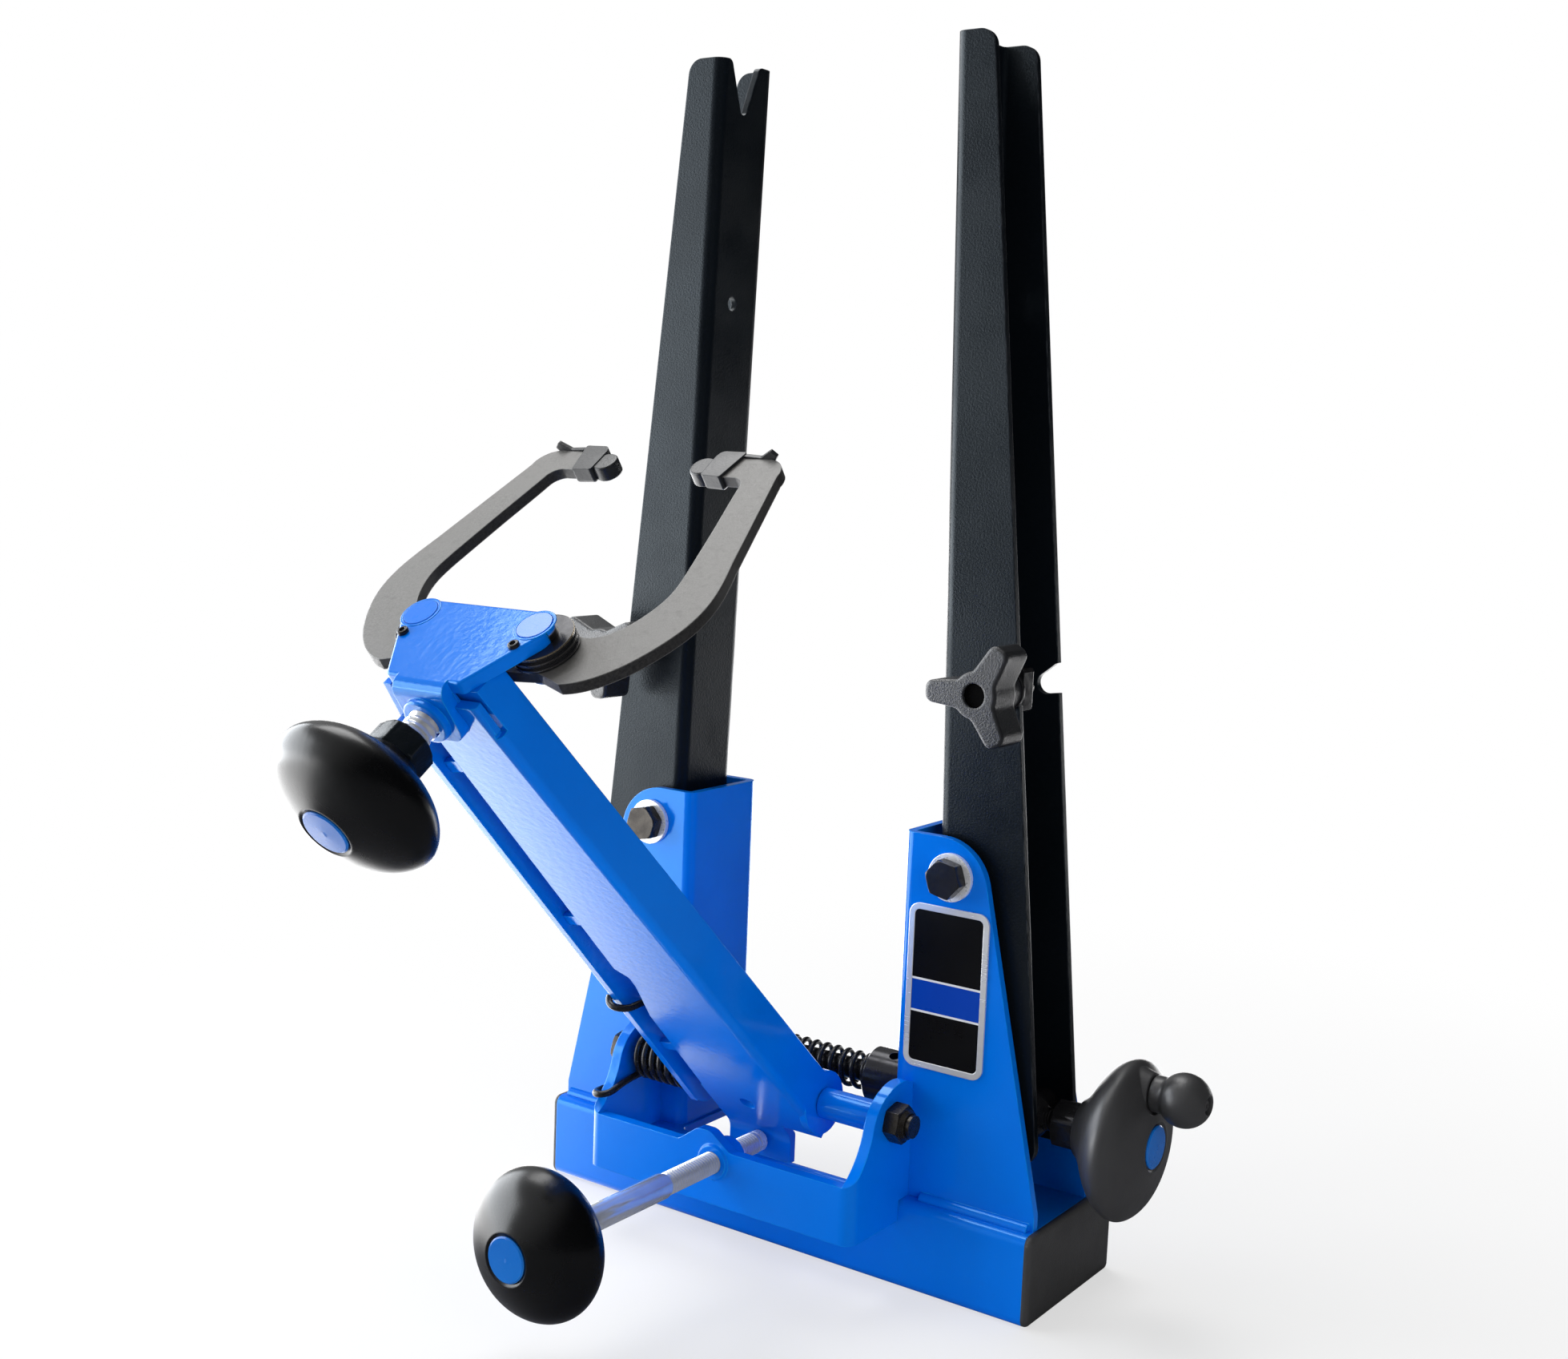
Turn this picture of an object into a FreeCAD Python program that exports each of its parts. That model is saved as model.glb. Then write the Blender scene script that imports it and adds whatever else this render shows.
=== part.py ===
"""Bicycle wheel truing stand: base, brackets, hinged uprights, centring drive and caliper arm.

Millimetres, +X right, +Y back, +Z up. Inside this file the base front face is Y = 0 and the
table is Z = 0; on export everything is moved so that the origin is the centre of the base foot.
"""
import math
import os

import FreeCAD, Part

# ---------------------------------------------------------------- driving dimensions
BASE_LENGTH = 254.0
BASE_DEPTH = 76.2
BASE_HEIGHT = 38.1
BASE_WALL = 3.5
BASE_BEND = 4.0
BASE_NOTCH_HALF = 54.0
CAP_THICK = 2.5
CAP_ROUND = 2.2
CAP_LIP = 8.0
BENCH_HOLE_R = 3.5
BENCH_HOLE_X = 101.6
BENCH_HOLE_INSET = 19.05

BRACKET_FRONT = 7.7
BRACKET_BACK = 57.3
BRACKET_INNER = 55.5
BRACKET_FOOT = 124.3
BRACKET_SLANT_FOOT = (125.65, 38.1)
BRACKET_TOP = 192.3
BRACKET_TOP_WIDTH = 91.1
BRACKET_WALL = 3.5
BRACKET_BEND = 4.5
BRACKET_CORNER = 22.0
WELD_SIZE = 3.0

UPRIGHT_FRONT = 14.4
UPRIGHT_BACK = 52.3
UPRIGHT_WALL = 3.0
UPRIGHT_BEND = 5.0
UPRIGHT_TOP = 512.3
UPRIGHT_BOTTOM = 61.0
UPRIGHT_REF_Z = 192.0
UPRIGHT_IN_TOP = 57.3
UPRIGHT_IN_REF = 67.3
UPRIGHT_OUT_TOP = 75.0
UPRIGHT_OUT_REF = 107.3
UPRIGHT_CORNER = 7.0

AXLE_NOTCH_Y = 31.4
AXLE_NOTCH_BOTTOM = 489.4
AXLE_NOTCH_HALF = 9.6
AXLE_NOTCH_ROOT_R = 2.4
AXLE_NOTCH_MOUTH_R = 3.0
SIGHT_HOLE_Z = 409.0
SIGHT_HOLE_R = 3.0

HOOK_X = 95.6
HOOK_Z = 254.3
HOOK_R = 4.4
HOOK_MOUTH_LOW = 251.2
HOOK_MOUTH_HIGH = 264.5

PIVOT_X = 78.6
PIVOT_Z = 176.4
PIVOT_R = 4.76
PIVOT_HEX = 14.3
PIVOT_HEAD_H = 6.0
PIVOT_WASHER_R = 10.0
PIVOT_WASHER_T = 2.0
PIVOT_NUT_H = 8.2
RUNNING_FIT = 0.06
STATIC_FIT = 0.12
FACE_GAP = 0.05

DRIVE_Y = 0.5 * (UPRIGHT_FRONT + UPRIGHT_BACK)
DRIVE_Z = 76.1
DRIVE_R = 4.76
DRIVE_LEFT = -124.0
HUB_X = 121.0
HUB_HEX = 19.0
KNOB_BACK_X = 131.5
COLLAR_LEFT = 31.0
COLLAR_R = 12.4
COLLAR_SCREW_R = 2.6
ROD_SPRING_R = 7.2
ROD_SPRING_WIRE = 1.15
ROD_SPRING_PITCH = 5.7
NUT_X = 105.0
NUT_BALL_R = 11.0
NUT_PIN_R = 5.0
NUT_PIN_PLAY = 0.7
WEB_SLOT_HALF_Y = 6.6
WEB_SLOT_HALF_Z = 9.6

CRANK_RADIUS = 21.9
CRANK_JOINT_STEP = 8.5
CRANK_BOSS_R = 7.9
GRIP_NECK_R = 7.4
GRIP_BALL_REACH = 14.6
GRIP_BALL_R = 11.4
GRIP_END_R = 6.2
GRIP_REACH = 23.0
GRIP_PIN_R = 2.5

STAR_LOBE_R = 22.0
STAR_FRONT = -12.5
STAR_BACK = 4.0
STAR_BOSS_R = 7.7
STUD_R = 3.95

YOKE_FRONT = -36.8
YOKE_RIGHT = 65.5
YOKE_LEFT = -72.9
YOKE_WALL = 5.0
YOKE_BOTTOM = 29.2
YOKE_PLATE_TOP = 53.5
YOKE_BEND = 5.7
BUMP_X = -9.2
BUMP_TOP = 60.8
BUMP_HALF = 9.5
EAR_TOP = 89.3
ADJUST_X = -4.0
ADJUST_Z = 47.8
ADJUST_BOSS_R = 8.0
ADJUST_BOSS_BACK = -25.0

ARM_PIVOT_Y = -8.0
ARM_PIVOT_Z = 74.5
ARM_PIVOT_R = 4.76
ARM_LEAN = 45.0
ARM_HALF_FOOT = 32.0
ARM_HALF_HEAD = 21.4
ARM_TAPER_LENGTH = 270.0
ARM_WALL = 3.5
ARM_FRONT = -11.67
ARM_FRONT_LEFT = -14.07
ARM_BACK_FOOT = 9.5
ARM_BACK_HEAD = 6.0
ARM_LOBE_R = 13.5
ARM_BEND = 4.0
ARM_SEAM = 8.0
ARM_WEB_FOOT = -10.0
WELD_TABS_U = (42.0, 137.0, 234.0)
SPRING_NOTCH_U = (68.8, 104.5)
SPACER_R = 6.5
TAB_FACE_Y = -2.0
TAB_BOTTOM = 40.6
TAB_LEFT = -21.0
TAB_RIGHT = 11.5

HEAD_Y = -187.2
HEAD_Z = 285.5
HEAD_TILT = 36.0
HEAD_THICK = 5.0
HEAD_RIM = 1.2
HEAD_BACK_HALF = 40.0
HEAD_FRONT_HALF = 17.0
HEAD_BACK_S = 7.5
HEAD_FRONT_S = -31.0
HEAD_PIN_X = 26.6
HEAD_PIN_R = 6.35
HEAD_BOSS_R = 8.9
HEAD_BOSS_FRONT = -38.6
TONGUE_HALF = 11.5
TONGUE_FRONT = -36.0
TONGUE_LOW = -23.0
TONGUE_BEND = 5.0
TONGUE_CORNER = 5.0
HEAD_GAP_LENGTH = 20.5
HEAD_GAP_DEPTH = 4.5
GUSSET_LENGTH = 31.0
GUSSET_WALL = 1.6
SLOT_LENGTH = 36.0
HEAD_SCREW = (25.8, -10.8)

CALIPER_TOP = -11.3
CALIPER_THICK = 4.5
SPACER_STACK_R = 11.9
SPACER_RINGS = 5
SCREW_N = -13.5
SCREW_R = 5.95
CONE_HALF_ANGLE = 10.0
CONE_R = 4.2
TAIL_S = -8.5
TAIL_R = 4.0
TAIL_GAP = 0.5
FINGER_TIP_X = 28.0
FINGER_END_X = 18.4
FINGER_LOW_S = 100.6
FINGER_HIGH_S = 112.4
CLIP_PLAY = 0.1
CLIP_LOBE_R = 5.2
CLIP_EDGE = 1.8

LOWER_SCREW_R = 4.76
LOWER_SHANK_R = 5.3
NOSE_DOME_R = 9.0
NOSE_GAP = 0.45
NOSE_PIN_R = 1.5

KNOB_R = 31.0
MAIN_KNOB_WIDEST = 152.5
MAIN_KNOB_DOME = 11.2
MAIN_KNOB_FRONT = MAIN_KNOB_WIDEST + MAIN_KNOB_DOME
CRANK_JOINT_X = MAIN_KNOB_WIDEST + CRANK_JOINT_STEP
GRIP_BALL_X = CRANK_JOINT_X + GRIP_BALL_REACH
GRIP_END_X = CRANK_JOINT_X + GRIP_REACH
MAIN_KNOB_BORE = 12.6
CALIPER_KNOB_BACK = 57.0
CALIPER_KNOB_WIDEST = 74.5
CALIPER_KNOB_FRONT = 91.0
CALIPER_KNOB_BORE = 9.6
LOWER_KNOB_BACK = 126.5
LOWER_KNOB_WIDEST = 143.5
LOWER_KNOB_FRONT = 162.3
LOWER_KNOB_BORE = 12.0
INSET_R = 9.0
INSET_DEPTH = 1.0
LABEL = (60.2, 97.6, 94.4, 163.6)
LABEL_THICK = 0.9
LABEL_CORNER = 5.0

ARM_SPRING_R = 9.2
ARM_SPRING_WIRE = 1.5
ARM_SPRING_TURNS = 7


# ---------------------------------------------------------------- helpers
def vec(x, y, z):
    return FreeCAD.Vector(x, y, z)


X_AXIS = vec(1, 0, 0)
Y_AXIS = vec(0, 1, 0)
Z_AXIS = vec(0, 0, 1)


def box(x0, x1, y0, y1, z0, z1):
    return Part.makeBox(x1 - x0, y1 - y0, z1 - z0, vec(x0, y0, z0))


def rod_x(r, x0, x1, y, z):
    return Part.makeCylinder(r, x1 - x0, vec(x0, y, z), X_AXIS)


def rod_y(r, x, y0, y1, z):
    return Part.makeCylinder(r, y1 - y0, vec(x, y0, z), Y_AXIS)


def rod_z(r, x, y, z0, z1):
    return Part.makeCylinder(r, z1 - z0, vec(x, y, z0), Z_AXIS)


def on_xz(y):
    return lambda a, b: vec(a, y, b)


def on_yz(x):
    return lambda a, b: vec(x, a, b)


def on_xy(z):
    return lambda a, b: vec(a, b, z)


def outline(corners, place):
    """Closed wire of (a, b, radius) corners, each rounded by its radius."""
    count = len(corners)
    pieces = []
    ends = []
    for i in range(count):
        a, b, r = corners[i]
        pa, pb, _ = corners[i - 1]
        na, nb, _ = corners[(i + 1) % count]
        here = place(a, b)
        to_prev = (place(pa, pb) - here).normalize()
        to_next = (place(na, nb) - here).normalize()
        if r <= 0:
            ends.append((here, None, here))
            continue
        half = 0.5 * to_prev.getAngle(to_next)
        run = r / math.tan(half)
        bisector = (to_prev + to_next).normalize()
        middle = here + bisector * (r / math.sin(half) - r)
        ends.append((here + to_prev * run, middle, here + to_next * run))
    for i in range(count):
        start, middle, stop = ends[i]
        if middle is not None:
            pieces.append(Part.Arc(start, middle, stop).toShape())
        following = ends[(i + 1) % count][0]
        if stop.distanceToPoint(following) > 1e-6:
            pieces.append(Part.makeLine(stop, following))
    return Part.Wire(pieces)


def prism(corners, place, direction):
    return Part.Face(outline(corners, place)).extrude(direction)


def fuse(shapes):
    body = shapes[0]
    if len(shapes) > 1:
        body = body.multiFuse(shapes[1:])
    return body.removeSplitter()


def edges_near(shape, test):
    """Edges whose two ends both satisfy the test."""
    found = []
    for edge in shape.Edges:
        points = [vertex.Point for vertex in edge.Vertexes]
        if len(points) == 2 and all(test(p) for p in points):
            found.append(edge)
    return found


def hexagon(across_flats, centre, axis, height, turn=0.0):
    """Hexagonal prism with lightly rounded ends."""
    corner = across_flats / math.sqrt(3.0)
    side = X_AXIS
    if abs(axis.dot(X_AXIS)) > 0.9:
        side = Y_AXIS
    other = axis.cross(side)
    points = []
    for i in range(7):
        angle = math.radians(60.0 * i + turn)
        points.append(centre + side * (corner * math.cos(angle)) + other * (corner * math.sin(angle)))
    body = Part.Face(Part.makePolygon(points)).extrude(axis * height)
    rim = corner - 0.06 * across_flats
    cone = 0.06 * across_flats
    keep = Part.makeCylinder(corner + 1.0, height - 2 * cone, centre + axis * cone, axis)
    low = Part.makeCone(rim, corner + cone * 0.9, cone, centre, axis)
    high = Part.makeCone(corner + cone * 0.9, rim, cone, centre + axis * (height - cone), axis)
    return body.common(keep.fuse(low).fuse(high))


def revolve(profile, origin, axis):
    """Turned solid from (distance along axis, radius) pairs, closed on the axis."""
    side = Z_AXIS
    if abs(axis.dot(Z_AXIS)) > 0.9:
        side = X_AXIS
    points = [origin + axis * a + side * r for a, r in profile]
    points.append(points[0])
    face = Part.Face(Part.makePolygon(points))
    return face.revolve(origin, axis, 360)


def smooth_knob(origin, axis, back, neck_r, widest, radius, front, bore_r, bore_depth):
    """Mushroom knob: neck at 'back', largest radius at 'widest', domed face ending at 'front'."""
    side = Z_AXIS
    if abs(axis.dot(Z_AXIS)) > 0.9:
        side = X_AXIS

    def at(a, r):
        return origin + axis * a + side * r

    rear = widest - back
    dome = front - widest
    flank = Part.BSplineCurve()
    flank.interpolate([
        at(back, neck_r),
        at(back + 0.30 * rear, neck_r + 0.34 * (radius - neck_r)),
        at(back + 0.62 * rear, neck_r + 0.80 * (radius - neck_r)),
        at(widest, radius),
        at(widest + 0.42 * dome, 0.90 * radius),
        at(widest + 0.78 * dome, 0.62 * radius),
        at(front - INSET_DEPTH * 0.3, INSET_R + 1.2),
    ])
    edges = [
        Part.makeLine(at(back, bore_r), at(back, neck_r)),
        flank.toShape(),
        Part.makeLine(at(front - INSET_DEPTH * 0.3, INSET_R + 1.2), at(front - INSET_DEPTH, INSET_R)),
        Part.makeLine(at(front - INSET_DEPTH, INSET_R), at(front - INSET_DEPTH, 0)),
        Part.makeLine(at(front - INSET_DEPTH, 0), at(back + bore_depth, 0)),
        Part.makeLine(at(back + bore_depth, 0), at(back + bore_depth, bore_r)),
        Part.makeLine(at(back + bore_depth, bore_r), at(back, bore_r)),
    ]
    return Part.Face(Part.Wire(edges)).revolve(origin, axis, 360)


def knob_inset(origin, axis, front):
    """Shallow domed disc that fills the recess in a knob face."""
    floor = front - INSET_DEPTH
    rim = INSET_R - 0.15
    return revolve([(floor, 0), (floor, rim), (floor + 0.6, rim), (floor + 1.0, rim - 0.6), (floor + 1.25, 0)],
                   origin, axis)


def wire_rod(points, radius):
    """Round wire along a smooth curve through the points."""
    curve = Part.BSplineCurve()
    curve.interpolate(points)
    path = Part.Wire([curve.toShape()])
    start = points[0]
    tangent = curve.tangent(curve.FirstParameter)[0]
    ring = Part.Wire([Part.makeCircle(radius, start, tangent)])
    shell = Part.BRepOffsetAPI.MakePipeShell(path)
    shell.setFrenetMode(False)
    shell.add(ring)
    shell.build()
    shell.makeSolid()
    return shell.shape()


def mirror_x(shape):
    return shape.mirror(vec(0, 0, 0), X_AXIS)


def tilt(shape, degrees, y, z):
    """Local frame to stand frame: turn about X, then move its origin to (0, y, z)."""
    body = shape.copy()
    body.rotate(vec(0, 0, 0), X_AXIS, degrees)
    body.translate(vec(0, y, z))
    return body


def from_head(shape):
    return tilt(shape, HEAD_TILT, HEAD_Y, HEAD_Z)


def from_arm(shape):
    return tilt(shape, ARM_LEAN, ARM_PIVOT_Y, ARM_PIVOT_Z)


# ---------------------------------------------------------------- base
def base_channel():
    half = 0.5 * BASE_LENGTH - CAP_THICK
    body = box(-half, half, 0, BASE_DEPTH, 0, BASE_HEIGHT)
    front_edges = edges_near(body, lambda p: p.y < 0.01 and abs(abs(p.x) - half) < 0.01)
    long_edges = [e for e in edges_near(body, lambda p: p.y < 0.01) if e not in front_edges]
    long_edges = [e for e in long_edges if abs(e.Vertexes[0].Point.z - e.Vertexes[1].Point.z) < 0.01]
    body = body.makeFillet(BASE_BEND, long_edges)
    room = box(-half - 1, half + 1, BASE_WALL, BASE_DEPTH + 1, BASE_WALL, BASE_HEIGHT - BASE_WALL)
    inner = [e for e in edges_near(room, lambda p: p.y < BASE_WALL + 0.01)
             if abs(e.Vertexes[0].Point.z - e.Vertexes[1].Point.z) < 0.01]
    body = body.cut(room.makeFillet(1.5, inner))
    notch = prism([
        (-BASE_NOTCH_HALF, BASE_DEPTH + 1, 0),
        (-BASE_NOTCH_HALF, BASE_BEND + 1.0, 4),
        (BASE_NOTCH_HALF, BASE_BEND + 1.0, 4),
        (BASE_NOTCH_HALF, BASE_DEPTH + 1, 0),
    ], on_xy(BASE_HEIGHT - BASE_WALL - 2), vec(0, 0, BASE_WALL + 4))
    body = body.cut(notch)
    for x in (-BENCH_HOLE_X, BENCH_HOLE_X):
        for y in (BENCH_HOLE_INSET, BASE_DEPTH - BENCH_HOLE_INSET):
            body = body.cut(rod_z(BENCH_HOLE_R, x, y, -1, BASE_WALL + 1))
    return body


def end_cap():
    """Right-hand cap: outer plate with a lip that plugs the channel."""
    half = 0.5 * BASE_LENGTH
    plate = prism([
        (0, 0, BASE_BEND),
        (BASE_DEPTH, 0, 3),
        (BASE_DEPTH, BASE_HEIGHT, 3),
        (0, BASE_HEIGHT, BASE_BEND),
    ], on_yz(half - CAP_THICK), vec(CAP_THICK, 0, 0))
    rim = [e for e in edges_near(plate, lambda p: p.x > half - 0.01)]
    plate = plate.makeFillet(CAP_ROUND, rim)
    play = STATIC_FIT
    low = BASE_WALL + play
    high = BASE_HEIGHT - BASE_WALL - play
    inner = half - CAP_THICK - CAP_LIP
    lip = prism([
        (low, low, 2),
        (BASE_DEPTH - 6, low, 2),
        (BASE_DEPTH - 6, high, 2),
        (low, high, 2),
    ], on_yz(inner), vec(CAP_LIP, 0, 0))
    hollow = prism([
        (low + 2.2, low + 2.2, 1),
        (BASE_DEPTH - 8.2, low + 2.2, 1),
        (BASE_DEPTH - 8.2, high - 2.2, 1),
        (low + 2.2, high - 2.2, 1),
    ], on_yz(inner - 1), vec(CAP_LIP + 1, 0, 0))
    return fuse([plate, lip.cut(hollow)])


def bracket():
    """Right-hand bracket: channel open outboard, with its weld bead along the foot."""
    depth = BRACKET_BACK - BRACKET_FRONT
    slope = (BRACKET_SLANT_FOOT[0] - BRACKET_TOP_WIDTH) / (BRACKET_TOP - BRACKET_SLANT_FOOT[1])
    knee_z = BRACKET_SLANT_FOOT[1] + (BRACKET_SLANT_FOOT[0] - BRACKET_FOOT) / slope
    profile = [
        (BRACKET_INNER, BASE_HEIGHT, 0),
        (BRACKET_FOOT, BASE_HEIGHT, 0),
        (BRACKET_FOOT, knee_z, 3),
        (BRACKET_TOP_WIDTH, BRACKET_TOP, BRACKET_CORNER),
        (BRACKET_INNER, BRACKET_TOP, 0),
    ]
    body = prism(profile, on_xz(BRACKET_FRONT), vec(0, depth, 0))
    bends = [e for e in edges_near(body, lambda p: abs(p.x - BRACKET_INNER) < 0.01)
             if abs(e.Vertexes[0].Point.z - e.Vertexes[1].Point.z) > 10]
    body = body.makeFillet(BRACKET_BEND, bends)
    wall = BRACKET_WALL
    room = box(BRACKET_INNER + wall, BRACKET_FOOT + 5, BRACKET_FRONT + wall, BRACKET_BACK - wall,
               BASE_HEIGHT - 1, BRACKET_TOP + 1)
    inner = [e for e in edges_near(room, lambda p: p.x < BRACKET_INNER + wall + 0.01)
             if abs(e.Vertexes[0].Point.z - e.Vertexes[1].Point.z) > 10]
    body = body.cut(room.makeFillet(1.2, inner))
    body = body.cut(rod_y(PIVOT_R + STATIC_FIT, PIVOT_X, BRACKET_FRONT - 1, BRACKET_BACK + 1, PIVOT_Z))
    slot = rod_x(WEB_SLOT_HALF_Y, BRACKET_INNER - 1, BRACKET_INNER + wall + 1, DRIVE_Y, DRIVE_Z + 2)
    slot = slot.fuse(rod_x(WEB_SLOT_HALF_Y, BRACKET_INNER - 1, BRACKET_INNER + wall + 1, DRIVE_Y, DRIVE_Z - 2))
    body = body.cut(slot)
    bead = Part.makeCylinder(WELD_SIZE, BRACKET_FOOT - 74.0, vec(72.0, BRACKET_FRONT, BASE_HEIGHT), X_AXIS)
    bead = bead.common(box(70, BRACKET_FOOT, 0, BRACKET_FRONT, BASE_HEIGHT, BASE_HEIGHT + 10))
    rear = Part.makeCylinder(WELD_SIZE, BRACKET_FOOT - 64.0, vec(62.0, BRACKET_BACK, BASE_HEIGHT), X_AXIS)
    rear = rear.common(box(60, BRACKET_FOOT, BRACKET_BACK, BRACKET_BACK + 10, BASE_HEIGHT, BASE_HEIGHT + 10))
    return fuse([body, bead, rear])


def ear_profile():
    """Side outline of the yoke: rests on the base top and rises to the arm pivot ear."""
    front = YOKE_FRONT
    back = BRACKET_FRONT
    x0 = YOKE_LEFT - 1
    edges = [
        Part.makeLine(vec(x0, front, YOKE_BOTTOM), vec(x0, -FACE_GAP, YOKE_BOTTOM)),
        Part.makeLine(vec(x0, -FACE_GAP, YOKE_BOTTOM), vec(x0, -FACE_GAP, BASE_HEIGHT)),
        Part.makeLine(vec(x0, -FACE_GAP, BASE_HEIGHT), vec(x0, back, BASE_HEIGHT)),
        Part.makeLine(vec(x0, back, BASE_HEIGHT), vec(x0, back, EAR_TOP - 2.2)),
        Part.Arc(vec(x0, back, EAR_TOP - 2.2), vec(x0, -1.0, EAR_TOP), vec(x0, -10.5, EAR_TOP - 2.0)).toShape(),
        Part.Arc(vec(x0, -10.5, EAR_TOP - 2.0), vec(x0, -17.6, 82.6), vec(x0, -21.8, 75.0)).toShape(),
        Part.Arc(vec(x0, -21.8, 75.0), vec(x0, -26.6, 63.6), vec(x0, front, YOKE_PLATE_TOP)).toShape(),
        Part.makeLine(vec(x0, front, YOKE_PLATE_TOP), vec(x0, front, YOKE_BOTTOM)),
    ]
    return Part.Face(Part.Wire(edges)).extrude(vec(YOKE_RIGHT - YOKE_LEFT + 2, 0, 0))


def yoke():
    wall = YOKE_WALL
    back = BRACKET_FRONT + 1
    bent = prism([
        (YOKE_LEFT, back, 0),
        (YOKE_LEFT, YOKE_FRONT, YOKE_BEND),
        (YOKE_RIGHT, YOKE_FRONT, YOKE_BEND),
        (YOKE_RIGHT, back, 0),
        (YOKE_RIGHT - wall, back, 0),
        (YOKE_RIGHT - wall, YOKE_FRONT + wall, YOKE_BEND - wall),
        (YOKE_LEFT + wall, YOKE_FRONT + wall, YOKE_BEND - wall),
        (YOKE_LEFT + wall, back, 0),
    ], on_xy(YOKE_BOTTOM - 1), vec(0, 0, EAR_TOP + 2 - YOKE_BOTTOM))
    body = bent.common(ear_profile())
    above = prism([
        (YOKE_LEFT + wall, YOKE_PLATE_TOP, 0),
        (BUMP_X - BUMP_HALF - 4, YOKE_PLATE_TOP, 6),
        (BUMP_X - BUMP_HALF + 6, BUMP_TOP, 6),
        (BUMP_X + BUMP_HALF - 6, BUMP_TOP, 6),
        (BUMP_X + BUMP_HALF + 4, YOKE_PLATE_TOP, 6),
        (YOKE_RIGHT - wall, YOKE_PLATE_TOP, 0),
        (YOKE_RIGHT - wall, EAR_TOP, 0),
        (YOKE_LEFT + wall, EAR_TOP, 0),
    ], on_xz(YOKE_FRONT - 1), vec(0, wall + 3, 0))
    bump = prism([
        (BUMP_X - BUMP_HALF - 4, YOKE_PLATE_TOP - 1, 0),
        (BUMP_X + BUMP_HALF + 4, YOKE_PLATE_TOP - 1, 0),
        (BUMP_X + BUMP_HALF + 4, EAR_TOP, 0),
        (BUMP_X - BUMP_HALF - 4, EAR_TOP, 0),
    ], on_xz(YOKE_FRONT), vec(0, wall, 0))
    body = fuse([body, bump]).cut(above)
    boss = rod_y(ADJUST_BOSS_R, ADJUST_X, YOKE_FRONT + wall - 0.5, ADJUST_BOSS_BACK, ADJUST_Z)
    ring = Part.makeCone(ADJUST_BOSS_R - 0.9, ADJUST_BOSS_R + 0.3, 1.7,
                         vec(ADJUST_X, YOKE_FRONT - 1.2, ADJUST_Z), Y_AXIS)
    body = fuse([body, boss, ring])
    body = body.cut(rod_y(LOWER_SCREW_R + RUNNING_FIT, ADJUST_X, YOKE_FRONT - 5, ADJUST_BOSS_BACK + 5, ADJUST_Z))
    body = body.cut(rod_x(ARM_PIVOT_R + STATIC_FIT, YOKE_LEFT - 1, YOKE_RIGHT + 1, ARM_PIVOT_Y, ARM_PIVOT_Z))
    return body


def label_plate():
    x0, x1, z0, z1 = LABEL
    plate = prism([(x0, z0, LABEL_CORNER), (x1, z0, LABEL_CORNER), (x1, z1, LABEL_CORNER), (x0, z1, LABEL_CORNER)],
                  on_xz(BRACKET_FRONT - LABEL_THICK), vec(0, LABEL_THICK, 0))
    rim = 2.6
    field = prism([
        (x0 + rim, z0 + rim, LABEL_CORNER - rim),
        (x1 - rim, z0 + rim, LABEL_CORNER - rim),
        (x1 - rim, z1 - rim, LABEL_CORNER - rim),
        (x0 + rim, z1 - rim, LABEL_CORNER - rim),
    ], on_xz(BRACKET_FRONT - LABEL_THICK - 1), vec(0, 1.25, 0))
    return plate.cut(field)


# ---------------------------------------------------------------- pivot bolts
def pivot_bolt():
    head_y = BRACKET_FRONT - PIVOT_WASHER_T - PIVOT_HEAD_H
    head = hexagon(PIVOT_HEX, vec(PIVOT_X, head_y, PIVOT_Z), Y_AXIS, PIVOT_HEAD_H, 12.0)
    tail_y = BRACKET_BACK + PIVOT_WASHER_T + PIVOT_NUT_H + 2.5
    shank = rod_y(PIVOT_R, PIVOT_X, head_y + PIVOT_HEAD_H - 0.5, tail_y, PIVOT_Z)
    return fuse([head, shank])


def pivot_nut():
    start = BRACKET_BACK + PIVOT_WASHER_T
    nut = hexagon(PIVOT_HEX, vec(PIVOT_X, start, PIVOT_Z), Y_AXIS, PIVOT_NUT_H, 20.0)
    return nut.cut(rod_y(PIVOT_R + FACE_GAP, PIVOT_X, start - 1, start + PIVOT_NUT_H + 1, PIVOT_Z))


def washer_y(r_out, y0, y1):
    ring = rod_y(r_out, PIVOT_X, y0, y1, PIVOT_Z)
    return ring.cut(rod_y(PIVOT_R + STATIC_FIT, PIVOT_X, y0 - 1, y1 + 1, PIVOT_Z))


# ---------------------------------------------------------------- uprights
def upright_edge(z, top, ref):
    """Edge position at height z of a straight taper through its top and reference values."""
    return ref + (top - ref) * (z - UPRIGHT_REF_Z) / (UPRIGHT_TOP - UPRIGHT_REF_Z)


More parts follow.
